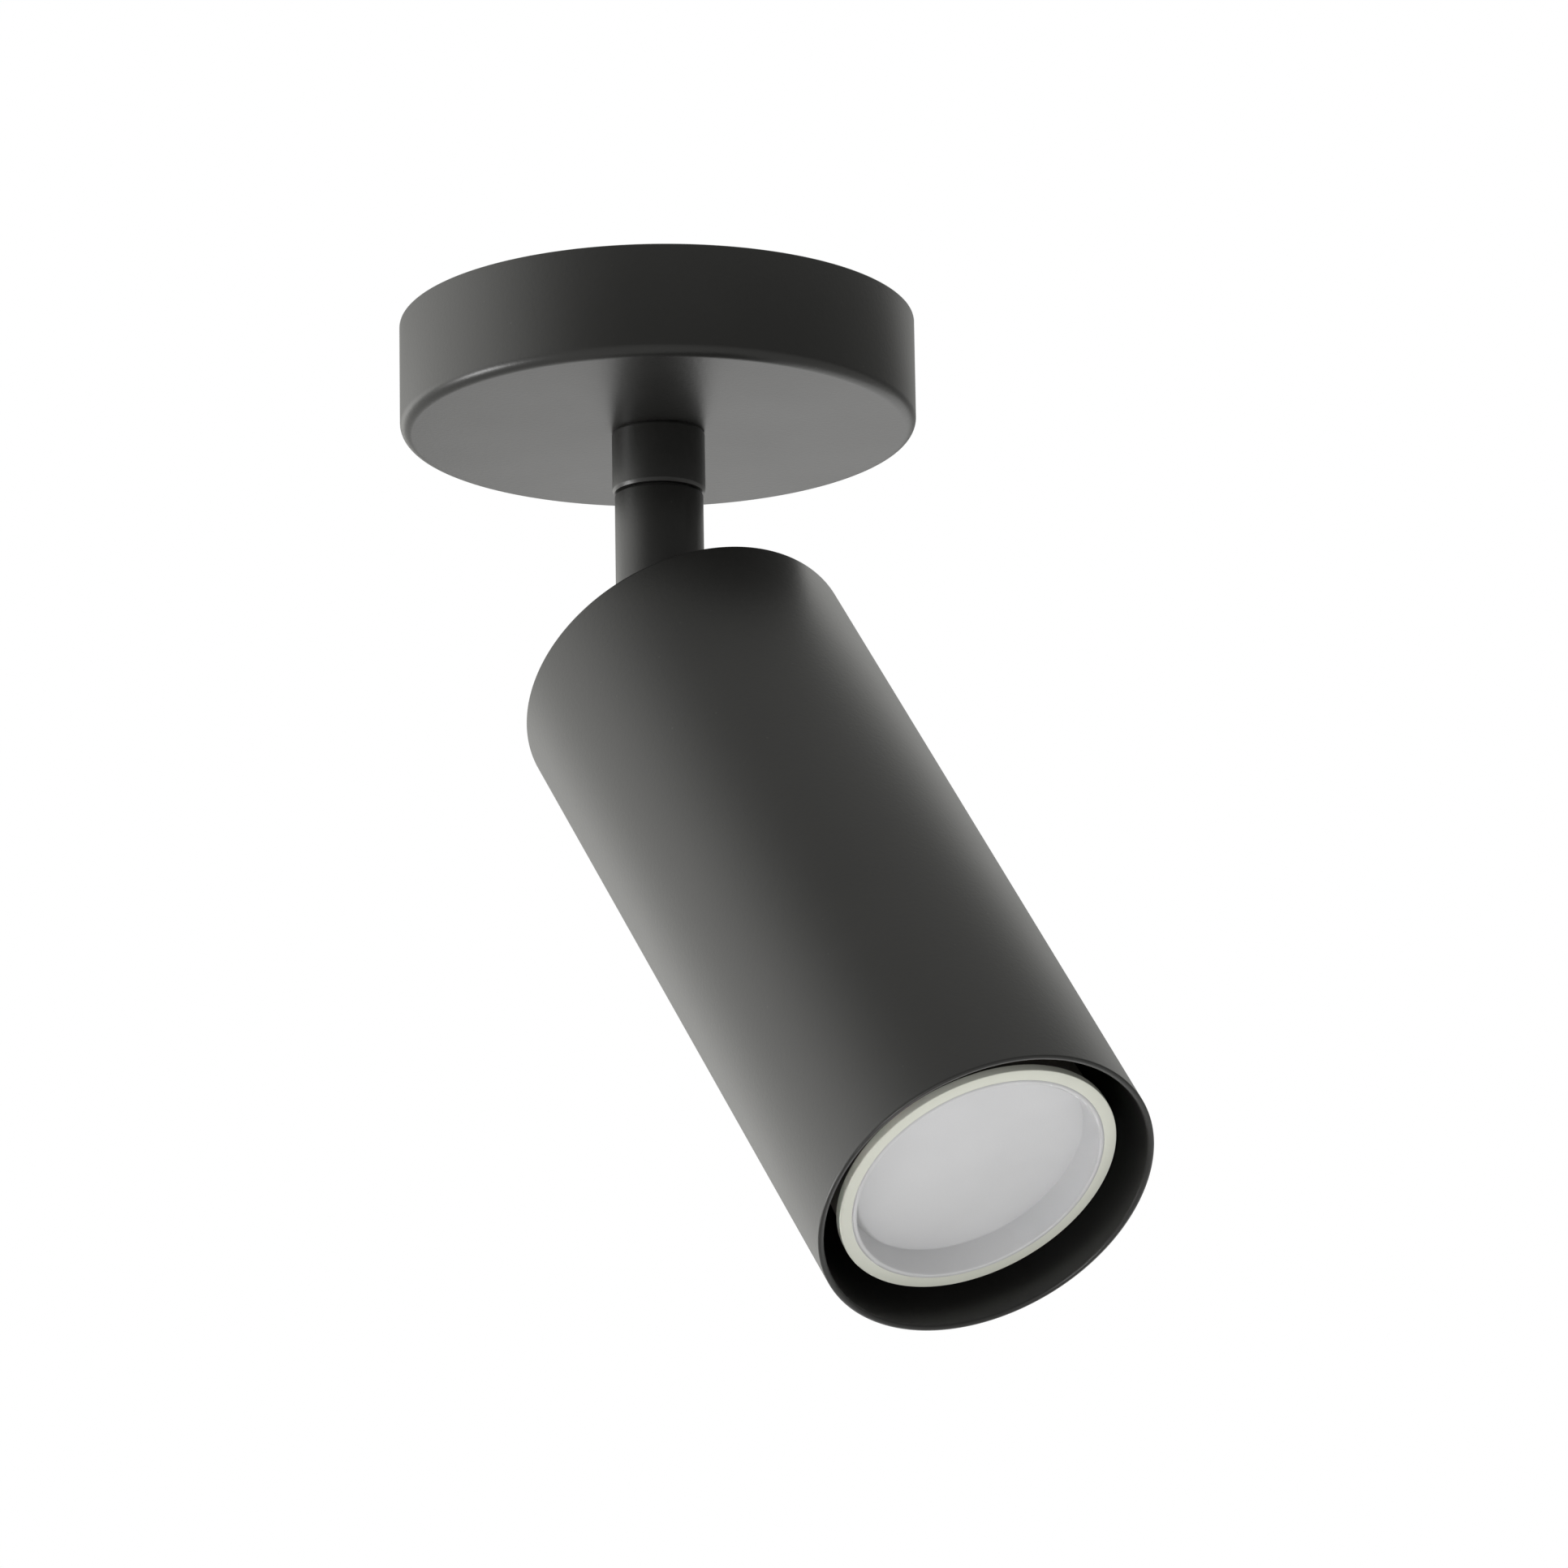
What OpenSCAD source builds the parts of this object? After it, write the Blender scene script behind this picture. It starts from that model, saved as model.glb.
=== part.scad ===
// Surface mounted ceiling spotlight. A drawn rose hides the strap that is screwed to the ceiling.
// A collar nut holds the rose, a stem turns under the collar, and a knuckle tilts the round head,
// which holds a twist-lock lamp.
// The origin is on the ceiling plane at the centre of the rose. +Z points up into the ceiling,
// and the head leans towards -Y.

/* [Aim] */
// Tilt of the head away from straight down
head_tilt = 37.7; // [0:0.1:80]
// How far the lamp sits off the head's axis towards straight down
lamp_lean_back = 2.9; // [0:0.1:4]
// How far the lamp sits off the head's axis towards +X
lamp_lean_side = 2.1; // [0:0.1:4]

/* [Rose] */
// Outer diameter of the rose
rose_d = 91; // [88:1:110]
// Height of the rose
rose_h = 20; // [18.5:0.1:28]
// Sheet thickness of the rose
rose_wall = 1; // [0.8:0.1:1.4]
// Outer radius of the drawn lower edge
rose_edge_r = 1.4; // [1.2:0.1:4]

/* [Mounting strap] */
// Overall length of the strap
strap_l = 83; // [78:1:84]
// Width of the strap
strap_w = 16; // [13:1:18]
// Sheet thickness of the strap
strap_t = 1.5; // [1:0.1:1.8]
// Depth of the strap's bridge under the ceiling
strap_drop = 9; // [8.5:0.1:9.5]
// Length of the flat bridge
bridge_l = 38; // [37:0.5:40]
// Length of each sloping step between bridge and foot
step_l = 3.5; // [2.5:0.5:4.5]
// Distance between the two ceiling screws
screw_spacing = 64; // [60:1:68]
// Length of a screw slot, end to end
slot_l = 11; // [8:0.5:12]
// Width of a screw slot
slot_w = 4.5; // [4:0.1:5]

/* [Nipple, collar and nuts] */
// Thread diameter of the nipple and of the knuckle's spigot
thread_d = 10; // [9:0.5:10.5]
// Bore that the leads run through
lead_bore_d = 6.4; // [6:0.1:6.6]
// Width across flats of the two nipple nuts and the head nut
nut_af = 14; // [13:0.5:15]
// Thickness of these nuts
nut_h = 3; // [2.5:0.1:3.4]
// Outer diameter of the toothed lock washers
lock_washer_d = 16; // [15:0.5:17]
// Thickness of the toothed lock washers
lock_washer_t = 0.8; // [0.6:0.1:1]
// Diameter of the collar nut
collar_d = 16.4; // [15:0.1:18]
// Height of the collar nut
collar_h = 11.1; // [8:0.1:14]
// Chamfer at the collar's two edges
collar_chamfer = 0.3; // [0.2:0.1:0.8]

/* [Stem] */
// Diameter of the stem and of the knuckle
stem_d = 15.6; // [15:0.1:16]
// Depth of the pivot's centre under the ceiling
pivot_drop = 57.5; // [56:0.5:75]
// Depth of the socket that turns on the nipple
socket_l = 11; // [10:0.5:12]
// Diameter of the thin washer between collar and stem
swivel_washer_d = 13.6; // [13:0.1:14.5]
// Thickness of that washer
swivel_washer_t = 0.4; // [0.3:0.1:0.8]
// Width of the groove in the nipple that holds the stem up
groove_w = 2; // [1.9:0.1:2.2]
// Depth of that groove
groove_depth = 1; // [0.9:0.1:1.1]
// Width of the groove's stop, as an angle
groove_stop_deg = 6; // [4:1:8]
// Thread diameter of the grub screw in the stem
grub_d = 4; // [3.5:0.5:4]
// Diameter of the grub screw's tip
grub_tip_d = 1.6; // [1.4:0.1:1.7]

/* [Knuckle] */
// Diameter of the pivot screw
pivot_d = 4; // [3.5:0.1:4]
// Radial width of the ring channel that the leads pass through
channel_w = 2.4; // [2.2:0.1:2.5]
// Depth of the ring channel in each half
channel_depth = 2.2; // [2:0.1:2.3]
// Diameter of the pivot screw's head
pivot_head_d = 7; // [6.4:0.1:7.2]
// Height of the pivot screw's head
pivot_head_h = 2.2; // [2:0.1:2.3]
// Width across flats of the pivot nut
pivot_nut_af = 7; // [6.6:0.1:7.2]
// Thickness of the pivot nut
pivot_nut_h = 3.2; // [2.8:0.1:3.3]
// Distance from the pivot to the head's rear face
head_gap = 12.5; // [11.5:0.1:16]

/* [Head] */
// Gap between the lamp's rim and the head's wall
lamp_gap = 4.1; // [3.6:0.1:9]
// Length of the head
head_l = 137; // [130:1:180]
// Wall thickness of the head
head_wall = 1.1; // [0.9:0.1:1.4]
// Outer radius of the head's rear edge
head_edge_r = 0.6; // [0.4:0.1:4]
// Outer radius at the mouth's edge
mouth_edge_r = 0.4; // [0.2:0.1:0.7]
// Width of the lampholder bracket, outside its legs
bracket_w = 42; // [40:1:44]
// Depth of the bracket's strip
bracket_strip = 10; // [8:1:12]
// Sheet thickness of the bracket
bracket_t = 1.2; // [1:0.1:1.5]
// Straight part of a bracket leg, below its web
bracket_straight_l = 20; // [18:1:24]

/* [Lampholder] */
// Diameter of the ceramic lampholder
holder_d = 30; // [29:0.5:32]
// Height of the lampholder
holder_h = 20; // [18:0.5:24]
// Thickness of the lampholder's slotted face
holder_face_t = 4.2; // [4:0.1:4.4]
// Distance between the lampholder's two screws
holder_screw_spacing = 20; // [19:0.5:21]
// Diameter of these screws
holder_screw_d = 3; // [2.5:0.1:3]

/* [Lamp] */
// Diameter of the lamp's front rim
lamp_d = 49.6; // [48:0.1:50]
// Length of the lamp from its rim to its base face
lamp_l = 46.5; // [45:0.5:50]
// How far the rim lies inside the head's mouth
lamp_set_back = 3.9; // [2:0.1:10]
// Width of the rim's flat land
rim_w = 2.5; // [2.2:0.1:3.5]
// Thickness of the rim
rim_t = 1.4; // [1:0.1:2]
// Depth behind the rim's face at which the housing starts to narrow
straight_l = 3; // [2.5:0.5:8]
// Depth of the frosted disc behind the rim
diffuser_depth = 5.2; // [3:0.1:6]
// Wall thickness of the lamp's housing and of its frosted cup
lamp_wall = 1.2; // [1:0.1:1.4]
// Diameter of the lamp's base
base_d = 25.8; // [24:0.1:26]
// Height of the lamp's base
base_h = 10.5; // [9:0.5:12]
// Distance between the two lamp pins
pin_spacing = 10; // [9.8:0.1:10.2]
// Diameter of a pin's head
pin_head_d = 5; // [4.6:0.1:5]
// Height of a pin's head
pin_head_h = 2.3; // [2:0.1:2.4]
// Diameter of a pin's neck
pin_neck_d = 3; // [2.6:0.1:3]
// Length of a pin
pin_l = 7; // [6.9:0.1:7.3]
// Twist that unlocks the lamp
lamp_twist = 25; // [15:1:30]

/* [Terminal block and leads] */
// Distance between the two poles
pole_pitch = 11; // [11:0.5:12]
// Width of a pole
pole_w = 8; // [7.4:0.1:8.4]
// Length of the terminal block across the poles' bores
block_w = 16; // [15.5:0.5:18]
// Height of the terminal block
block_h = 11.5; // [10.5:0.5:12]
// Diameter of a brass clamp
clamp_d = 5; // [4.6:0.1:5.2]
// Bore of a brass clamp
clamp_bore = 3.2; // [2.8:0.1:3.4]
// Length of a brass clamp
clamp_l = 14; // [12:0.5:14]
// Diameter of a clamp screw
clamp_screw_d = 2.8; // [2.4:0.1:3]
// Outer diameter of a lead
lead_d = 1.6; // [1.2:0.1:1.7]

/* [Hidden] */
$fn = 72;

// Finishes
black_paint = "#2b2b2a";
black_plastic = "#1a1a1a";
black_steel = "#3d3d40";
zinc = "#b9bcc0";
brass = "#c9a650";
ceramic = "#ece8de";
block_white = "#e6e6e2";
brown_lead = "#6b3f22";
blue_lead = "#2d62a8";
earth_lead = "#7da32a";
lamp_white = "#e4e5df";
lamp_grey = "#6d6a64";
frost = "#d6d5d3";
board_green = "#d9dcd8";
led_yellow = "#e8c640";

// Clearances: fit is the radial play of a shaft in its hole, and overrun is how far a cut runs past a face
fit = 0.05;
overrun = 1;
// Gap between flat faces that slide on each other
slide_gap = 0.1;
// Thread that shows past a nut
thread_show = 0.6;

// Heights on the ceiling side
bridge_top_z = -strap_drop;
bridge_low_z = bridge_top_z - strap_t;
nipple_top_z = bridge_top_z + nut_h + thread_show;
collar_low_z = -rose_h - collar_h;
stem_top_z = collar_low_z - swivel_washer_t;
nipple_low_z = stem_top_z - socket_l + 4 * slide_gap;
pivot_z = -pivot_drop;
// The grub screw's tip and its groove lie at the middle of the socket
grub_z = stem_top_z - socket_l / 2;
// Where the groove and its stop meet the grub screw's tip
groove_floor_r = thread_d / 2 - groove_depth;

// Strap details
strap_slope = sqrt(pow(strap_drop, 2) + pow(step_l, 2));
strap_slope_run = strap_t * strap_slope / strap_drop;
earth_at_share = 0.76;
earth_x = bridge_l / 2 * earth_at_share;
earth_screw_d = 4;
earth_head_d = 7.4;
earth_head_h = 2.4;
ring_d = 8;
ring_t = 0.8;
ring_barrel_d = 3;
ring_barrel_l = 5;

// Tongue of the strap and the terminal block under it
tongue_w = 14;
tongue_top_z = -2.5;
tongue_low_z = tongue_top_z - strap_t;
block_clear = 2;
block_y = strap_w / 2 + strap_t + block_clear + pole_pitch;
tongue_end_y = block_y + pole_pitch + strap_t;
block_slab_t = 2.5;
pole_low_z = tongue_low_z - block_h * 0.7;
clamp_z = tongue_low_z - block_h * 0.4;
clamp_screw_x = clamp_l * 0.3;
well_wall = 1.5;
block_screw_d = 3;
block_screw_head_d = 4.4;
block_screw_head_h = 2;

// Knuckle, seen from the pivot
stem_r = stem_d / 2;
shoulder_gap = 0.4;
shoulder = stem_r + shoulder_gap;
cheek_x = slide_gap / 2;
boss_wall = 1.15;
boss_r = pivot_d / 2 + fit + boss_wall;
channel_r = boss_r + channel_w;
channel_mid_r = boss_r + channel_w / 2;
spring_washer_t = 0.8;
spring_washer_slit = 0.8;
pivot_sink = 0.2;
seat_x = stem_r - pivot_sink - pivot_head_h - spring_washer_t;
nut_sink = 0.4;
pivot_nut_x = stem_r - nut_sink - pivot_nut_h;
spigot_l = head_wall + bracket_t + lock_washer_t + nut_h + thread_show;

// Head, measured down its own axis from the pivot
head_d = lamp_d + 2 * (lamp_gap + head_wall);
rear_z = -head_gap;
mouth_z = rear_z - head_l;
web_z = rear_z - head_wall - bracket_t;
head_nut_z = web_z - lock_washer_t - nut_h;
lamp_z = mouth_z + lamp_set_back;

// Lampholder and lamp, measured back from the lamp's rim
holder_play = 0.2;
holder_z = lamp_l + holder_play;
holder_back_z = holder_z + holder_h;
slot_play = 0.3;
head_play = 0.5;
cavity_top_z = lamp_l + pin_l + slot_play + holder_h / 3;
chamber_d = pin_head_d + 2 * head_play + pin_spacing * sin(lamp_twist / 2);
holder_head_d = 5.4;
holder_head_h = 2;
holder_nut_af = 5.5;
holder_nut_h = 2.2;
contact_t = 0.5;
contact_w = 3.6;
contact_z = lamp_l + pin_l + slide_gap;
crimp_d = 2.6;
crimp_l = 6;
lip_proud = 0.25;
lip_over = 0.2;
cup_r = lamp_d / 2 - rim_w;
cup_draft = lamp_wall / 4;
housing_r = cup_r + slide_gap + lamp_wall;
bowl_steps = 10;
board_z = diffuser_depth + 3.2;
board_t = 1.6;
led_count = 9;
led_size = [2.8, 2.8, 0.7];

// Places of the live, neutral and earth leads in the bore
lead_x = 1.05;
lead_y = [lead_d + slide_gap, 0, -lead_d - slide_gap];
lead_end_gap = 0.2;
lead_sides = 8;
// Their places in the head's neck, and where they run in the ring channel
neck_y = [lead_y[0], lead_y[2], 0];
ring_x = 1.2;
ring_steps = 10;
ring_leave_deg = 36;
ring_end_deg = 24;

// Routes of the leads in the rose, as shares of the rose's diameter and of the strap's drop
live_rose_shares = [[-0.14, 0.14, -0.85], [-0.12, 0.065, -0.52], [-0.05, 0.014, -0.32]];
neutral_rose_shares = [
    [-0.155, 0.27, -0.9], [-0.165, 0.14, -0.75], [-0.14, 0.03, -0.5], [-0.06, -0.005, -0.38]
];
earth_rose_shares = [[0.16, -0.115, -0.82], [0.11, -0.14, -0.66], [0.05, -0.075, -0.4]];
// Routes of the leads in the head, as shares of its radius and of the length that they hang
live_head_shares = [[-0.16, 0.12, 0.3], [-0.22, 0.2, 0.62]];
neutral_head_shares = [[-0.2, -0.1, 0.33], [-0.24, -0.1, 0.66]];
earth_head_shares = [[0.08, 0, 0.13], [0.32, -0.18, 0.24]];

// Plain shapes that several pieces share

// Round bar with a hole through it
module ring(outer_d, inner_d, height) {
    difference() {
        cylinder(d = outer_d, h = height);
        translate([0, 0, -overrun]) cylinder(d = inner_d, h = height + 2 * overrun);
    }
}

// Hexagon nut on its face, with a hole
module hex_nut(across_flats, hole_d, height) {
    difference() {
        cylinder(d = across_flats / cos(30), h = height, $fn = 6);
        translate([0, 0, -overrun]) cylinder(d = hole_d, h = height + 2 * overrun);
    }
}

// Screw with its head's underside at zero, its head upwards and its shank downwards
module pan_screw(shank_d, shank_l, head_d, head_h) {
    slot_t = head_h / 3;
    difference() {
        union() {
            cylinder(d = head_d, h = head_h);
            translate([0, 0, -shank_l]) cylinder(d = shank_d, h = shank_l + head_h / 2);
        }
        translate([-head_d, -slot_t / 2, head_h / 2]) cube([2 * head_d, slot_t, head_h]);
    }
}

// Half section of a round block from the axis outwards, top at zero, with both outer corners rounded
module round_half(radius, height, low_r, top_r) {
    translate([0, low_r - height]) square([radius, height - low_r - top_r]);
    translate([0, -height]) square([radius - low_r, height - top_r]);
    translate([0, low_r - height]) square([radius - top_r, height - low_r]);
    translate([radius - low_r, low_r - height]) circle(r = low_r);
    translate([radius - top_r, -top_r]) circle(r = top_r);
}

// Drawn cup, open at its top at zero and closed below
module drawn_cup(outer_d, height, wall, closed_r, open_r) {
    inner_r = max(closed_r - wall, wall / 4);
    rotate_extrude() difference() {
        round_half(outer_d / 2, height, closed_r, open_r);
        translate([0, overrun]) round_half(outer_d / 2 - wall, height - wall + overrun, inner_r, wall / 4);
    }
}

// Slot along X with round ends, measured end to end
module slot(length, width, height) {
    for (side = [-1, 1]) {
        translate([side * (length - width) / 2, 0, 0]) cylinder(d = width, h = height);
    }
    translate([(width - length) / 2, -width / 2, 0]) cube([length - width, width, height]);
}

// Bar of half a ring channel, round the pivot, lying on X = 0 and going towards +X
module channel_cut(depth) {
    rotate([0, 90, 0]) difference() {
        translate([0, 0, -overrun]) cylinder(r = channel_r, h = depth + overrun);
        translate([0, 0, -2 * overrun]) cylinder(r = boss_r, h = depth + 3 * overrun);
    }
}

// Frames of the moving pieces at rest
module at_pivot() {
    translate([0, 0, pivot_z]) children();
}

module in_head() {
    at_pivot() rotate([-head_tilt, 0, 0]) children();
}

module in_lamp() {
    in_head() translate([0, 0, lamp_z]) rotate([lamp_lean_back, -lamp_lean_side, 0]) children();
}

// Functions for swept leads

function unit(v) = v / norm(v);

// Point on a smooth curve between b and c, with a and d as their neighbours
function blend(a, b, c, d, t) = 0.5 * (
    2 * b + (c - a) * t + (2 * a - 5 * b + 4 * c - d) * t * t + (3 * b - a - 3 * c + d) * t * t * t
);

// Smooth path through a list of points
function smooth(points, steps = 4) = let (last = len(points) - 1) concat(
    [for (i = [0 : last - 1], k = [0 : steps - 1]) blend(
        points[max(i - 1, 0)], points[i], points[i + 1], points[min(i + 2, last)], k / steps
    )],
    [points[last]]
);

function heading(path, i) = unit(path[min(i + 1, len(path) - 1)] - path[max(i - 1, 0)]);

function square_to(v, along) = unit(v - (v * along) * along);

// One side direction for each point of a path, carried along it without a twist
function sides(path) = [
    for (
        i = 0, side = square_to([0.3, 1, 0.2], heading(path, 0));
        i < len(path);
        i = i + 1, side = i < len(path) ? square_to(side, heading(path, i)) : side
    ) side
];

// Round lead swept along a path
module lead(path) {
    count = len(path);
    side = sides(path);
    points = [for (i = [0 : count - 1], k = [0 : lead_sides - 1]) let (
        turn = 360 * k / lead_sides
    ) path[i] + lead_d / 2 * (cos(turn) * side[i] + sin(turn) * cross(heading(path, i), side[i]))];
    walls = [for (i = [0 : count - 2], k = [0 : lead_sides - 1]) let (
        a = i * lead_sides + k,
        b = i * lead_sides + (k + 1) % lead_sides
    ) each [[a, a + lead_sides, b], [b, a + lead_sides, b + lead_sides]]];
    start_cap = [[for (k = [0 : lead_sides - 1]) k]];
    end_cap = [[for (k = [lead_sides - 1 : -1 : 0]) (count - 1) * lead_sides + k]];
    polyhedron(points = points, faces = concat(walls, start_cap, end_cap), convexity = 6);
}

// Lead bent round the pivot in the ring channel, between two angles from straight below towards +Y
function ring_path(from_deg, to_deg, x) = [for (i = [0 : ring_steps]) let (
    deg = from_deg + (to_deg - from_deg) * i / ring_steps
) [x, channel_mid_r * sin(deg), -channel_mid_r * cos(deg)]];

// Turn about X and then about Y, as rotate() does it
function turn_x(v, deg) = [v[0], v[1] * cos(deg) - v[2] * sin(deg), v[1] * sin(deg) + v[2] * cos(deg)];
function turn_y(v, deg) = [v[0] * cos(deg) + v[2] * sin(deg), v[1], v[2] * cos(deg) - v[0] * sin(deg)];

// Place of a point of the lamp's frame in the head's frame
function lamp_to_head(p) = [0, 0, lamp_z] + turn_y(turn_x(p, lamp_lean_back), -lamp_lean_side);

// Ceiling side

module rose() {
    color(black_paint) difference() {
        drawn_cup(rose_d, rose_h, rose_wall, rose_edge_r, rose_wall / 4);
        translate([0, 0, -rose_h - overrun]) cylinder(d = thread_d + 2 * fit, h = rose_wall + 2 * overrun);
    }
}

module strap_profile() {
    foot = bridge_l / 2 + step_l;
    half_top = [[strap_l / 2, 0], [foot, 0], [bridge_l / 2, bridge_top_z]];
    half_low = [
        [foot + strap_slope_run - step_l * (strap_drop + strap_t) / strap_drop, bridge_low_z],
        [foot + strap_slope_run - step_l * strap_t / strap_drop, -strap_t],
        [strap_l / 2, -strap_t]
    ];
    polygon(concat(
        half_top,
        [for (i = [2 : -1 : 0]) [-half_top[i][0], half_top[i][1]]],
        [for (i = [2 : -1 : 0]) [-half_low[i][0], half_low[i][1]]],
        half_low
    ));
}

module mounting_strap() {
    color(zinc) difference() {
        union() {
            intersection() {
                translate([0, strap_w / 2, 0]) rotate([90, 0, 0]) linear_extrude(strap_w) strap_profile();
                translate([0, 0, bridge_low_z - overrun]) {
                    cylinder(d = strap_l, h = strap_drop + strap_t + 2 * overrun);
                }
            }
            // Tongue that carries the terminal block, bent up from the bridge and then outwards
            translate([-tongue_w / 2, strap_w / 2 - strap_t, bridge_low_z]) {
                cube([tongue_w, 2 * strap_t, strap_t]);
            }
            translate([-tongue_w / 2, strap_w / 2, bridge_low_z]) {
                cube([tongue_w, strap_t, tongue_top_z - bridge_low_z]);
            }
            translate([-tongue_w / 2, strap_w / 2, tongue_low_z]) {
                cube([tongue_w, tongue_end_y - strap_w / 2, strap_t]);
            }
        }
        translate([0, 0, bridge_low_z - overrun]) cylinder(d = thread_d + 2 * fit, h = strap_t + 2 * overrun);
        translate([earth_x, 0, bridge_low_z - overrun]) {
            cylinder(d = earth_screw_d + 2 * fit, h = strap_t + 2 * overrun);
        }
        translate([0, block_y, tongue_low_z - overrun]) {
            cylinder(d = block_screw_d + 2 * fit, h = strap_t + 2 * overrun);
        }
        for (side = [-1, 1]) {
            translate([side * screw_spacing / 2, 0, -strap_t - overrun]) {
                slot(slot_l, slot_w, strap_t + 2 * overrun);
            }
        }
    }
}

module nipple() {
    length = nipple_top_z - nipple_low_z;
    color(zinc) difference() {
        translate([0, 0, nipple_low_z]) ring(thread_d, lead_bore_d, length);
        // Groove for the grub screw's tip, left whole at the front as the turning stop
        translate([0, 0, grub_z - groove_w / 2]) rotate([0, 0, groove_stop_deg / 2 - 90]) {
            rotate_extrude(angle = 360 - groove_stop_deg) {
                translate([groove_floor_r, 0]) square([groove_depth + overrun, groove_w]);
            }
        }
    }
}

module nipple_nuts() {
    color(zinc) {
        translate([0, 0, bridge_top_z]) hex_nut(nut_af, thread_d + 2 * fit, nut_h);
        translate([0, 0, bridge_low_z - lock_washer_t - nut_h]) hex_nut(nut_af, thread_d + 2 * fit, nut_h);
    }
}

// Washer with teeth all round its edge
module lock_washer() {
    teeth = 12;
    tooth_w = lock_washer_d / teeth;
    difference() {
        ring(lock_washer_d, thread_d + 2 * fit, lock_washer_t);
        for (i = [0 : teeth - 1]) {
            rotate([0, 0, 360 * i / teeth]) translate([lock_washer_d / 2 - tooth_w, -tooth_w / 2, -overrun]) {
                cube([2 * tooth_w, tooth_w, lock_washer_t + 2 * overrun]);
            }
        }
    }
}

module nipple_lock_washer() {
    color(zinc) translate([0, 0, bridge_low_z - lock_washer_t]) lock_washer();
}

module collar_nut() {
    face_d = collar_d - 2 * collar_chamfer;
    color(black_paint) translate([0, 0, collar_low_z]) difference() {
        union() {
            cylinder(d1 = face_d, d2 = collar_d, h = collar_chamfer);
            translate([0, 0, collar_chamfer]) cylinder(d = collar_d, h = collar_h - 2 * collar_chamfer);
            translate([0, 0, collar_h - collar_chamfer]) cylinder(d1 = collar_d, d2 = face_d, h = collar_chamfer);
        }
        translate([0, 0, -overrun]) cylinder(d = thread_d + 2 * fit, h = collar_h + 2 * overrun);
    }
}

// Places of the block's two poles
module each_pole() {
    for (side = [-1, 1]) {
        translate([0, block_y + side * pole_pitch / 2, 0]) children();
    }
}

// Places of the four clamp screws
module each_clamp_screw() {
    each_pole() for (side = [-1, 1]) {
        translate([side * clamp_screw_x, 0, 0]) children();
    }
}

module along_x(diameter, length) {
    rotate([0, 90, 0]) translate([0, 0, -length / 2]) cylinder(d = diameter, h = length);
}

module terminal_block() {
    block_low_z = tongue_low_z - block_h;
    well_d = clamp_screw_d + 6 * fit;
    color(block_white) difference() {
        union() {
            translate([-block_w / 2, block_y - pole_pitch, tongue_low_z - block_slab_t]) {
                cube([block_w, 2 * pole_pitch, block_slab_t]);
            }
            each_pole() translate([-block_w / 2, -pole_w / 2, pole_low_z]) {
                cube([block_w, pole_w, tongue_low_z - pole_low_z]);
            }
            each_clamp_screw() translate([0, 0, block_low_z]) {
                cylinder(d = well_d + 2 * well_wall, h = pole_low_z - block_low_z + overrun);
            }
        }
        each_pole() translate([0, 0, clamp_z]) {
            along_x(clamp_d + 2 * fit, clamp_l + 2 * fit);
            along_x(clamp_bore + 2 * fit, block_w + 2 * overrun);
        }
        each_clamp_screw() translate([0, 0, block_low_z - overrun]) {
            cylinder(d = well_d, h = clamp_z - block_low_z + overrun);
        }
        translate([0, block_y, block_low_z - overrun]) {
            cylinder(d = block_screw_head_d + 4 * fit, h = block_h - block_slab_t + overrun);
            cylinder(d = block_screw_d + 2 * fit, h = block_h + 2 * overrun);
        }
    }
}

module terminal_clamps() {
    color(brass) difference() {
        each_pole() translate([0, 0, clamp_z]) along_x(clamp_d, clamp_l);
        each_pole() translate([0, 0, clamp_z]) along_x(clamp_bore, clamp_l + 2 * overrun);
        each_clamp_screw() translate([0, 0, clamp_z - clamp_d]) {
            cylinder(d = clamp_screw_d + 2 * fit, h = clamp_d);
        }
    }
}

module terminal_screws() {
    screw_l = block_h * 0.4;
    slot_t = clamp_screw_d / 4;
    color(zinc) each_clamp_screw() translate([0, 0, clamp_z - clamp_bore / 4 - screw_l]) difference() {
        cylinder(d = clamp_screw_d, h = screw_l);
        translate([-clamp_screw_d, -slot_t / 2, -slot_t]) cube([2 * clamp_screw_d, slot_t, 2 * slot_t]);
    }
}

module terminal_fixing_screw() {
    color(zinc) translate([0, block_y, tongue_low_z - block_slab_t]) rotate([180, 0, 0]) {
        pan_screw(block_screw_d, block_slab_t + strap_t, block_screw_head_d, block_screw_head_h);
    }
}

module earth_screw() {
    color(brass) translate([earth_x, 0, bridge_top_z + ring_t]) {
        pan_screw(earth_screw_d, ring_t + 2 * strap_t, earth_head_d, earth_head_h);
    }
}

// Ring terminal lying flat, with its crimped barrel towards -Y
module ring_terminal(hole_d) {
    barrel_y = -ring_d / 2 - ring_barrel_l;
    difference() {
        union() {
            cylinder(d = ring_d, h = ring_t);
            translate([-ring_barrel_d / 4, barrel_y, 0]) {
                cube([ring_barrel_d / 2, ring_d / 2 + ring_barrel_l, ring_t]);
            }
            translate([0, barrel_y, ring_barrel_d / 2]) rotate([-90, 0, 0]) {
                cylinder(d = ring_barrel_d, h = ring_barrel_l);
            }
        }
        translate([0, 0, -overrun]) cylinder(d = hole_d, h = ring_t + 2 * overrun);
        translate([0, barrel_y - overrun, ring_barrel_d / 2]) rotate([-90, 0, 0]) {
            cylinder(d = lead_d + 2 * fit, h = ring_barrel_l + overrun - ring_t);
        }
    }
}

module earth_ring() {
    color(brass) translate([earth_x, 0, bridge_top_z]) ring_terminal(earth_screw_d + 2 * fit);
}

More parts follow.
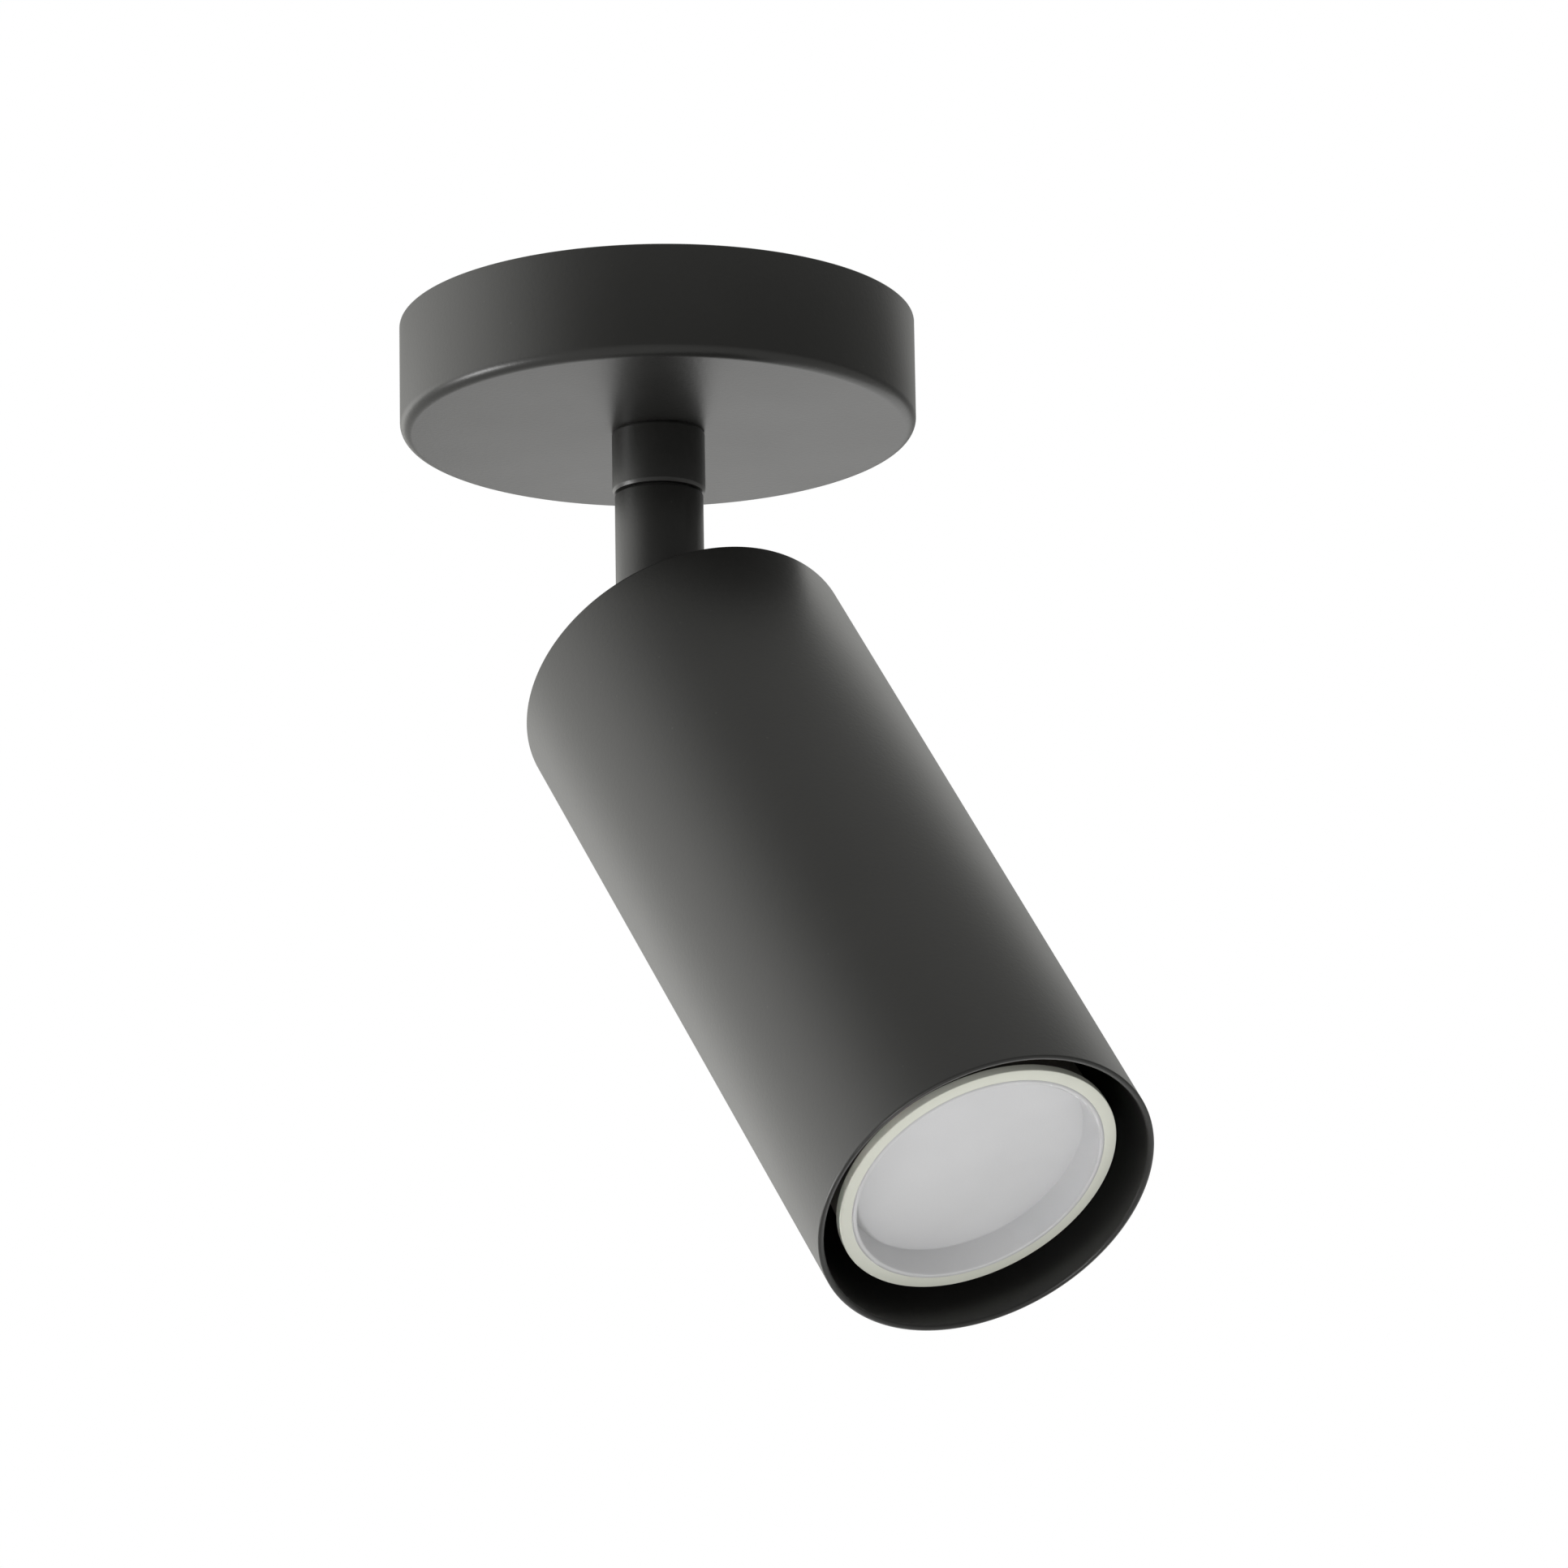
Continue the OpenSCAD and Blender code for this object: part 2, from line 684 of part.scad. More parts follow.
// Route in the rose: two points at the terminal, the bends given as shares, and straight into the nipple
function rose_route(start, leave, shares, index) = concat(
    [start],
    smooth(concat(
        [leave],
        [for (s = shares) [s[0] * rose_d, s[1] * rose_d, s[2] * strap_drop]],
        [[lead_x, lead_y[index], nipple_top_z + lead_d]]
    )),
    [[lead_x, lead_y[index], nipple_top_z + lead_end_gap]]
);

function pole_route(y, shares, index) = rose_route(
    [-clamp_l / 4, y, clamp_z], [-block_w / 2 - lead_d, y, clamp_z], shares, index
);

module live_lead_rose() {
    color(brown_lead) lead(pole_route(block_y - pole_pitch / 2, live_rose_shares, 0));
}

module neutral_lead_rose() {
    color(blue_lead) lead(pole_route(block_y + pole_pitch / 2, neutral_rose_shares, 1));
}

module earth_lead_rose() {
    barrel_y = -ring_d / 2 - ring_barrel_l;
    z = bridge_top_z + ring_barrel_d / 2;
    color(earth_lead) lead(rose_route(
        [earth_x, barrel_y + ring_barrel_l / 2, z], [earth_x, barrel_y - lead_d / 2, z], earth_rose_shares, 2
    ));
}

// Stem

module stem() {
    edge = 0.3;
    color(black_paint) difference() {
        union() {
            translate([0, 0, pivot_z - stem_r]) {
                cylinder(d = stem_d, h = stem_top_z - pivot_z + stem_r - edge);
            }
            translate([0, 0, stem_top_z - edge]) cylinder(d1 = stem_d, d2 = stem_d - 2 * edge, h = edge);
        }
        // Socket, lead bore and grub screw hole
        translate([0, 0, stem_top_z - socket_l]) cylinder(d = thread_d + 2 * fit, h = socket_l + overrun);
        translate([0, 0, pivot_z + channel_mid_r]) {
            cylinder(d = lead_bore_d, h = stem_top_z - socket_l - pivot_z - channel_mid_r + overrun);
        }
        translate([0, 0, grub_z]) rotate([-90, 0, 0]) cylinder(d = grub_d + 2 * fit, h = stem_d);
        at_pivot() {
            // The half that the lower knuckle fills
            translate([-stem_d, -stem_d, -stem_d]) cube([stem_d + cheek_x, 2 * stem_d, stem_d + shoulder]);
            // Round end of the cheek
            difference() {
                translate([0, -stem_d, -stem_d]) cube([stem_d, 2 * stem_d, stem_d]);
                along_x(stem_d, 2 * stem_d + 2 * overrun);
            }
            translate([cheek_x, 0, 0]) channel_cut(channel_depth);
            along_x(pivot_d + 2 * fit, 2 * stem_d);
            translate([seat_x, 0, 0]) rotate([0, 90, 0]) cylinder(d = pivot_head_d + 16 * fit, h = stem_d);
        }
    }
}

module swivel_washer() {
    color(black_plastic) translate([0, 0, stem_top_z]) {
        ring(swivel_washer_d, thread_d + 2 * fit, swivel_washer_t);
    }
}

module swivel_grub_screw() {
    tip_end = groove_floor_r + slide_gap;
    body_start = thread_d / 2 + 2 * slide_gap;
    body_end = stem_r - 3 * slide_gap;
    socket_af = grub_d / 2;
    color(black_steel) translate([0, 0, grub_z]) rotate([-90, 0, 0]) difference() {
        union() {
            translate([0, 0, tip_end]) cylinder(d = grub_tip_d, h = body_start - tip_end + slide_gap);
            translate([0, 0, body_start]) cylinder(d = grub_d, h = body_end - body_start);
        }
        translate([0, 0, body_end - socket_af / 2]) cylinder(d = socket_af / cos(30), h = socket_af, $fn = 6);
    }
}

// Straight run of one lead down the stem to the ring channel, at its place in the bore
module stem_run(index) {
    low_z = pivot_z + boss_r + slide_gap;
    translate([lead_x, lead_y[index], low_z]) cylinder(d = lead_d, h = nipple_top_z - low_z);
}

module live_lead_stem() {
    color(brown_lead) stem_run(0);
}

module neutral_lead_stem() {
    color(blue_lead) stem_run(1);
}

// The earth lead goes on round the front of the pivot, in the stem's half of the ring channel
module earth_lead_stem() {
    color(earth_lead) at_pivot() lead(concat(
        [[lead_x, lead_y[2], pivot_drop + nipple_top_z]],
        smooth([
            [lead_x, lead_y[2], shoulder],
            [lead_x, lead_y[2], channel_r + lead_d / 2],
            [ring_x, lead_y[2] - lead_d / 8, channel_r - lead_d / 4]
        ], 3),
        ring_path(ring_leave_deg - 180, -head_tilt - ring_end_deg, ring_x)
    ));
}

// Knuckle

module knuckle() {
    neck_l = head_gap - shoulder;
    corner_top = shoulder - slide_gap;
    color(black_paint) in_head() difference() {
        union() {
            translate([0, 0, rear_z]) cylinder(d = stem_d, h = head_gap + corner_top);
            translate([0, 0, rear_z - spigot_l]) cylinder(d = thread_d, h = spigot_l + neck_l);
        }
        // The half that the stem's cheek fills
        translate([-cheek_x, -stem_d, -shoulder]) cube([stem_d, 2 * stem_d, stem_d + shoulder]);
        // Round end towards the front, and a square corner behind that stops the head at straight down
        difference() {
            translate([-stem_d, -stem_d, 0]) cube([stem_d, stem_d, stem_d]);
            along_x(stem_d, 2 * stem_d + 2 * overrun);
        }
        mirror([1, 0, 0]) translate([cheek_x, 0, 0]) channel_cut(channel_depth);
        translate([0, 0, rear_z - spigot_l - overrun]) {
            cylinder(d = lead_bore_d, h = head_gap + spigot_l + overrun - boss_r - channel_w / 2);
        }
        along_x(pivot_d + 2 * fit, 2 * stem_d);
        translate([-pivot_nut_x, 0, 0]) rotate([0, -90, 0]) {
            cylinder(d = (pivot_nut_af + 4 * fit) / cos(30), h = stem_d, $fn = 6);
        }
    }
}

module pivot_screw() {
    head_x = seat_x + spring_washer_t;
    color(black_steel) in_head() translate([head_x, 0, 0]) rotate([0, 90, 0]) {
        pan_screw(pivot_d, head_x + pivot_nut_x + pivot_nut_h, pivot_head_d, pivot_head_h);
    }
}

module pivot_spring_washer() {
    color(black_steel) in_head() translate([seat_x, 0, 0]) rotate([0, 90, 0]) difference() {
        ring(pivot_head_d, pivot_d + 2 * fit, spring_washer_t);
        translate([0, -spring_washer_slit / 2, -overrun]) {
            cube([pivot_head_d, spring_washer_slit, spring_washer_t + 2 * overrun]);
        }
    }
}

module pivot_nut() {
    color(black_steel) in_head() translate([-pivot_nut_x, 0, 0]) rotate([0, -90, 0]) {
        hex_nut(pivot_nut_af, pivot_d + 2 * fit, pivot_nut_h);
    }
}

// Head

module head_tube() {
    color(black_paint) in_head() difference() {
        translate([0, 0, mouth_z]) rotate([180, 0, 0]) {
            drawn_cup(head_d, head_l, head_wall, head_edge_r, mouth_edge_r);
        }
        translate([0, 0, rear_z - head_wall - overrun]) {
            cylinder(d = thread_d + 2 * fit, h = head_wall + 2 * overrun);
        }
    }
}

module head_nut() {
    color(zinc) in_head() translate([0, 0, head_nut_z]) hex_nut(nut_af, thread_d + 2 * fit, nut_h);
}

module head_lock_washer() {
    color(zinc) in_head() translate([0, 0, web_z - lock_washer_t]) lock_washer();
}

head_earth_z = web_z - bracket_straight_l / 2;

leg_x = bracket_w / 2 - bracket_t;
leg_inset = 0.15;

// End of the drawn part of a leg, a little narrower than the strip that it runs into
module leg_end(low_z) {
    translate([leg_x + leg_inset, 2 * leg_inset - bracket_strip / 2, low_z + leg_inset]) {
        cube([bracket_t - 2 * leg_inset, bracket_strip - 4 * leg_inset, bracket_t - 2 * leg_inset]);
    }
}

module holder_bracket() {
    foot_in = holder_screw_spacing / 2 - bracket_strip / 3;
    color(zinc) difference() {
        union() {
            in_head() translate([-bracket_w / 2, -bracket_strip / 2, web_z]) {
                cube([bracket_w, bracket_strip, bracket_t]);
            }
            in_head() translate([0, 0, web_z]) cylinder(d = lock_washer_d + bracket_t, h = bracket_t);
            for (side = [0, 1]) {
                // Leg: straight below the web, then drawn over to the foot
                in_head() mirror([side, 0, 0]) {
                    translate([leg_x, -bracket_strip / 2, web_z - bracket_straight_l]) {
                        cube([bracket_t, bracket_strip, bracket_straight_l + bracket_t]);
                    }
                }
                hull() {
                    in_head() mirror([side, 0, 0]) leg_end(web_z - bracket_straight_l);
                    in_lamp() mirror([side, 0, 0]) leg_end(holder_back_z);
                }
                in_lamp() mirror([side, 0, 0]) translate([foot_in, -bracket_strip / 2, holder_back_z]) {
                    cube([leg_x + bracket_t - foot_in, bracket_strip, bracket_t]);
                }
            }
        }
        in_head() {
            translate([0, 0, web_z - overrun]) cylinder(d = thread_d + 2 * fit, h = bracket_t + 2 * overrun);
            translate([leg_x - overrun, 0, head_earth_z]) rotate([0, 90, 0]) {
                cylinder(d = earth_screw_d + 2 * fit, h = bracket_t + 2 * overrun);
            }
        }
        in_lamp() for (side = [-1, 1]) {
            translate([side * holder_screw_spacing / 2, 0, holder_back_z - overrun]) {
                cylinder(d = holder_screw_d + 2 * fit, h = bracket_t + 2 * overrun);
            }
        }
    }
}

module each_pin() {
    for (turn = [90, 270]) {
        rotate([0, 0, turn]) children();
    }
}

module each_holder_screw() {
    for (side = [-1, 1]) {
        translate([side * holder_screw_spacing / 2, 0, 0]) children();
    }
}

// Ceramic body, with a round chamber behind each keyhole, where the pin's head turns
module lampholder() {
    edge = 0.8;
    low_z = holder_z + holder_face_t;
    color(ceramic) in_lamp() difference() {
        rotate_extrude() polygon([
            [0, low_z], [holder_d / 2, low_z], [holder_d / 2, holder_back_z - edge],
            [holder_d / 2 - edge, holder_back_z], [0, holder_back_z]
        ]);
        each_pin() {
            rotate([0, 0, -lamp_twist / 2]) translate([pin_spacing / 2, 0, low_z - overrun]) {
                cylinder(d = chamber_d, h = cavity_top_z - low_z + overrun);
            }
            // Way out for the lead
            translate([pin_spacing / 2, 0, cavity_top_z - overrun]) {
                cylinder(d = crimp_d + 2 * slide_gap, h = holder_back_z - cavity_top_z + 2 * overrun);
            }
        }
        each_holder_screw() translate([0, 0, low_z - overrun]) {
            cylinder(d = holder_screw_d + 2 * fit, h = holder_h - holder_face_t + 2 * overrun);
        }
    }
}

// Ceramic face with two keyholes, wide where a pin's head goes in and narrow where its neck is locked
module holder_face() {
    edge = 0.8;
    top_z = holder_z + holder_face_t;
    cut_l = holder_face_t + 2 * overrun;
    color(ceramic) in_lamp() difference() {
        rotate_extrude() polygon([
            [0, holder_z], [holder_d / 2 - edge, holder_z], [holder_d / 2, holder_z + edge],
            [holder_d / 2, top_z], [0, top_z]
        ]);
        each_pin() translate([0, 0, holder_z - overrun]) {
            hull() for (turn = [-lamp_twist, 0]) {
                rotate([0, 0, turn]) translate([pin_spacing / 2, 0, 0]) {
                    cylinder(d = pin_neck_d + 2 * slot_play, h = cut_l);
                }
            }
            rotate([0, 0, -lamp_twist]) translate([pin_spacing / 2, 0, 0]) {
                cylinder(d = pin_head_d + 2 * slot_play, h = cut_l);
            }
        }
        each_holder_screw() translate([0, 0, holder_z - overrun]) {
            cylinder(d = holder_screw_d + 2 * fit, h = cut_l);
            cylinder(d = holder_head_d + 4 * fit, h = overrun + holder_head_h + slide_gap);
        }
    }
}

module holder_screws() {
    head_z = holder_z + holder_head_h + slide_gap;
    shank_l = holder_back_z + bracket_t + holder_nut_h - head_z;
    color(zinc) in_lamp() each_holder_screw() translate([0, 0, head_z]) rotate([180, 0, 0]) {
        pan_screw(holder_screw_d, shank_l, holder_head_d, holder_head_h);
    }
}

module holder_nuts() {
    color(zinc) in_lamp() each_holder_screw() translate([0, 0, holder_back_z + bracket_t]) {
        hex_nut(holder_nut_af, holder_screw_d + 2 * fit, holder_nut_h);
    }
}

module holder_contacts() {
    tail_top = cavity_top_z + crimp_l / 2;
    color(brass) in_lamp() each_pin() translate([pin_spacing / 2, 0, 0]) difference() {
        union() {
            translate([-contact_w / 2, -contact_w / 2, contact_z]) cube([contact_w, contact_w, contact_t]);
            translate([contact_w / 2 - contact_t, -contact_w / 2, contact_z]) {
                cube([contact_t, contact_w, cavity_top_z - contact_z - slide_gap]);
            }
            translate([-contact_w / 2, -contact_w / 2, cavity_top_z - slide_gap - contact_t]) {
                cube([contact_w, contact_w, contact_t]);
            }
            translate([0, 0, cavity_top_z - slide_gap - contact_t]) {
                cylinder(d = crimp_d, h = tail_top - cavity_top_z + slide_gap + contact_t);
            }
        }
        translate([0, 0, cavity_top_z]) cylinder(d = lead_d + 2 * fit, h = crimp_l);
    }
}

// Route in the head: straight down the neck, the bends given as shares, and straight into its terminal
function head_route(shares, index, ends) = let (
    start = [-lead_x, neck_y[index], -channel_r - lead_d / 2],
    leave = [-lead_x, neck_y[index], rear_z - spigot_l],
    fall = leave[2] - lamp_to_head([0, 0, holder_back_z])[2]
) concat([start], smooth(concat(
    [leave],
    [for (s = shares) [s[0] * head_d / 2, s[1] * head_d / 2, leave[2] - s[2] * fall]],
    [ends[0]]
)), [ends[1]]);

// Way of one lead from the ring channel into the neck, round the back for side 1 and the front for side -1
function into_neck(side) = concat(
    ring_path(side * (180 + side * head_tilt - ring_end_deg), side * ring_leave_deg, -ring_x),
    [[-ring_x, side * (lead_y[0] + lead_d / 8), -channel_r + lead_d / 4]]
);

// Last two points of a lead that goes into the lampholder beside one pin
function holder_ends(side) = [
    lamp_to_head([0, side * pin_spacing / 2, holder_back_z + crimp_l]),
    lamp_to_head([0, side * pin_spacing / 2, cavity_top_z + slide_gap])
];

module live_lead_head() {
    color(brown_lead) in_head() {
        lead(concat(into_neck(1), head_route(live_head_shares, 0, holder_ends(1))));
    }
}

module neutral_lead_head() {
    color(blue_lead) in_head() {
        lead(concat(into_neck(-1), head_route(neutral_head_shares, 1, holder_ends(-1))));
    }
}

module earth_lead_head() {
    barrel_x = bracket_w / 2 - bracket_t - ring_barrel_d / 2;
    barrel_y = -ring_d / 2 - ring_barrel_l;
    color(earth_lead) in_head() lead(head_route(earth_head_shares, 2, [
        [barrel_x, barrel_y - lead_d, head_earth_z],
        [barrel_x, barrel_y + ring_barrel_l / 2, head_earth_z]
    ]));
}

// Turns a piece that points up so that it points from the bracket's leg to the head's axis
module on_leg() {
    in_head() translate([bracket_w / 2 - bracket_t, 0, head_earth_z]) rotate([0, -90, 0]) children();
}

module head_earth_screw() {
    color(brass) on_leg() translate([0, 0, ring_t]) {
        pan_screw(earth_screw_d, ring_t + bracket_t + holder_nut_h, earth_head_d, earth_head_h);
    }
}

module head_earth_ring() {
    color(brass) on_leg() ring_terminal(earth_screw_d + 2 * fit);
}

module head_earth_nut() {
    color(zinc) on_leg() translate([0, 0, -bracket_t - holder_nut_h]) {
        hex_nut(pivot_nut_af, earth_screw_d + 2 * fit, holder_nut_h);
    }
}

// Lamp

// Pale ring round the front of the lamp
module lamp_rim() {
    edge = 0.6;
    color(lamp_white) in_lamp() rotate_extrude() difference() {
        translate([0, rim_t]) round_half(lamp_d / 2, rim_t, edge, edge / 3);
        translate([0, -overrun]) square([cup_r + fit, rim_t + 2 * overrun]);
    }
}

// Outline of the housing from where it starts to narrow to its base, drawn in by a wall
function bowl(inset) = let (
    wide = housing_r - inset,
    narrow = base_d / 2 + lamp_wall - inset,
    tall = lamp_l - base_h - straight_l - inset
) [for (step = [0 : bowl_steps]) let (turn = 90 * step / bowl_steps) [
    narrow + (wide - narrow) * cos(turn), straight_l + tall * sin(turn)
]];

// Dim housing behind the rim
module lamp_body() {
    inner = bowl(lamp_wall);
    color(lamp_grey) in_lamp() rotate_extrude() polygon(concat(
        [[housing_r - lamp_wall, rim_t], [housing_r, rim_t]],
        bowl(0),
        [[0, lamp_l - base_h], [0, lamp_l - base_h - lamp_wall]],
        [for (i = [bowl_steps : -1 : 0]) inner[i]]
    ));
}

// Frosted cup: a disc set back from the rim, with its wall turned forward to a thin lip over the rim
module lamp_diffuser() {
    draft_share = 0.5;
    low_r = cup_r - lamp_wall / 2 - lamp_wall * draft_share;
    color(frost) in_lamp() rotate_extrude() polygon([
        [0, diffuser_depth + lamp_wall], [0, diffuser_depth], [low_r, diffuser_depth],
        [cup_r - lamp_wall / 2, 0], [cup_r - lamp_wall / 3, -lip_proud], [cup_r, -lip_proud],
        [cup_r + lip_over, -lip_proud / 3], [cup_r + lip_over, 0], [cup_r, 0],
        [cup_r, rim_t], [cup_r - cup_draft, diffuser_depth + lamp_wall]
    ]);
}

module lamp_led_board() {
    color(board_green) in_lamp() translate([0, 0, board_z]) cylinder(r = cup_r - lamp_wall / 2, h = board_t);
}

module lamp_leds() {
    ring_r = cup_r / 2;
    color(led_yellow) in_lamp() {
        for (i = [0 : led_count - 1]) {
            rotate([0, 0, 360 * i / led_count]) translate([ring_r, 0, board_z - led_size[2] / 2]) {
                cube(led_size, center = true);
            }
        }
    }
}

module lamp_driver() {
    card_w = base_d * 0.8;
    card_l = lamp_l - base_h - board_z - board_t - 2 * lamp_wall;
    card_z = board_z + board_t;
    color(board_green) in_lamp() {
        translate([-card_w / 2, -board_t / 2, card_z]) cube([card_w, board_t, card_l]);
        translate([-card_w / 4, board_t / 2, card_z + card_l / 4]) cube([card_w / 2, card_w / 3, card_l / 3]);
        translate([0, -card_w / 4, card_z + card_l / 5]) cylinder(d = card_w / 2, h = card_l * 0.6);
    }
}

module lamp_base() {
    edge = 0.8;
    color(lamp_grey) in_lamp() translate([0, 0, lamp_l - base_h]) {
        cylinder(d = base_d, h = base_h - edge);
        translate([0, 0, base_h - edge]) cylinder(d1 = base_d, d2 = base_d - 2 * edge, h = edge);
    }
}

module lamp_pins() {
    color(zinc) in_lamp() each_pin() translate([pin_spacing / 2, 0, lamp_l]) {
        cylinder(d = pin_neck_d, h = pin_l - pin_head_h / 2);
        translate([0, 0, pin_l - pin_head_h]) cylinder(d = pin_head_d, h = pin_head_h);
    }
}

rose();
mounting_strap();
nipple();
nipple_nuts();
nipple_lock_washer();
collar_nut();
terminal_block();
terminal_clamps();
terminal_screws();
terminal_fixing_screw();
earth_screw();
earth_ring();
live_lead_rose();
neutral_lead_rose();
earth_lead_rose();
stem();
swivel_washer();
swivel_grub_screw();
live_lead_stem();
neutral_lead_stem();
earth_lead_stem();
knuckle();
pivot_screw();
pivot_spring_washer();
pivot_nut();
head_tube();
head_nut();
head_lock_washer();
holder_bracket();
lampholder();
holder_face();
holder_screws();
holder_nuts();
holder_contacts();
live_lead_head();
neutral_lead_head();
earth_lead_head();
head_earth_screw();
head_earth_ring();
head_earth_nut();
lamp_rim();
lamp_body();
lamp_diffuser();
lamp_led_board();
lamp_leds();
lamp_driver();
lamp_base();
lamp_pins();
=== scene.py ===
"""Looks of the surface mounted ceiling spotlight: its turned shells, its knuckle, its fittings and their finishes."""

import logging
import math
from collections.abc import Callable, Iterator, Sequence
from contextlib import contextmanager
from dataclasses import dataclass, field
from enum import Enum

import bmesh
import bpy
from mathutils import Matrix, Vector


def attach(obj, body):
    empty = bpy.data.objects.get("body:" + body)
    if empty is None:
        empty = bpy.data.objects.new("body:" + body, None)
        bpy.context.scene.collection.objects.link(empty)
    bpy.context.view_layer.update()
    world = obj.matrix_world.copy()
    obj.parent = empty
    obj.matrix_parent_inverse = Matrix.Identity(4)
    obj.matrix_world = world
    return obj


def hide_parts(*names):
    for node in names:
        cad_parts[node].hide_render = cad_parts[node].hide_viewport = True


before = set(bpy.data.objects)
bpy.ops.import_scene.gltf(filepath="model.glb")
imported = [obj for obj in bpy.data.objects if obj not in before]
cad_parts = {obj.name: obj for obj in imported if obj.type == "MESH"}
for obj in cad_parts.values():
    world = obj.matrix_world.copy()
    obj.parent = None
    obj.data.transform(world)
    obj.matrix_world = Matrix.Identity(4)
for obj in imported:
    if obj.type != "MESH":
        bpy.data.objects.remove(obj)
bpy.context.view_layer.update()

log = logging.getLogger("spotlight")

Colour = tuple[float, float, float]
Outline = Sequence[tuple[float, float]]
NEAR = 3e-5  # How near a point has to lie to a turned edge's radius
NEAR_HEIGHT = 2e-5  # and to its height
SOFT_ANGLE = 32.0  # Faces that meet at less, in degrees, are shaded smooth
REACH = 0.02  # How far a cutter reaches past what it cuts


class Body(Enum):
    """The rigid bodies that a piece can ride on."""

    CEILING = "ceiling_mount"
    STEM = "stem"
    HEAD = "head"
    LAMP = "lamp"


class Slot(Enum):
    """The record's material slots."""

    PAINT = "black_paint"
    NYLON = "black_plastic"
    BLACK_STEEL = "black_steel"
    ZINC = "zinc"
    BRASS = "brass"
    CERAMIC = "ceramic"
    BLOCK = "block_white"
    LIVE = "brown_lead"
    NEUTRAL = "blue_lead"
    EARTH = "earth_lead"
    SHELL = "lamp_shell"
    # The housing's colour is painted shade: a dark grey-brown for the shadowed gap behind the lamp's rim
    HOUSING = "lamp_housing"
    FROSTED = "frosted"
    BOARD = "board"
    LED = "led"


# Shader maths


class Level:
    """One number over the surface, as a shader socket that takes part in Python sums."""

    def __init__(self, bench: "NodeBench", socket: bpy.types.NodeSocket) -> None:
        """Wrap a socket.

        Args:
            bench: The node bench that the socket belongs to.
            socket: The output that carries the number.
        """
        self.bench = bench
        self.socket = socket

    def _sum(self, operation: str, first: "Level | float", second: "Level | float") -> "Level":
        """Add one Math node.

        Args:
            operation: The Math node's operation.
            first: Its first value.
            second: Its second value.

        Returns:
            The node's result.
        """
        made = self.bench.node("ShaderNodeMath", {"operation": operation}, {0: first, 1: second})
        return Level(self.bench, made.outputs[0])

    def __add__(self, other: "Level | float") -> "Level":
        """Return self + other."""
        return self._sum("ADD", self, other)

    def __radd__(self, other: float) -> "Level":
        """Return other + self."""
        return self._sum("ADD", other, self)

    def __sub__(self, other: "Level | float") -> "Level":
        """Return self - other."""
        return self._sum("SUBTRACT", self, other)

    def __rsub__(self, other: float) -> "Level":
        """Return other - self."""
        return self._sum("SUBTRACT", other, self)

    def __mul__(self, other: "Level | float") -> "Level":
        """Return self * other."""
        return self._sum("MULTIPLY", self, other)

    def __rmul__(self, other: float) -> "Level":
        """Return other * self."""
        return self._sum("MULTIPLY", other, self)

    def above(self, limit: float, softness: float) -> "Level":
        """Turn the number into a mask that rises over a limit.

        Args:
            limit: The number at which the mask starts.
            softness: How much further it has to rise to be full.

        Returns:
            A mask from 0 to 1.
        """
        made = self.bench.node(
            "ShaderNodeMapRange", {"clamp": True}, {0: self, 1: limit, 2: limit + softness, 3: 0.0, 4: 1.0}
        )
        return Level(self.bench, made.outputs[0])


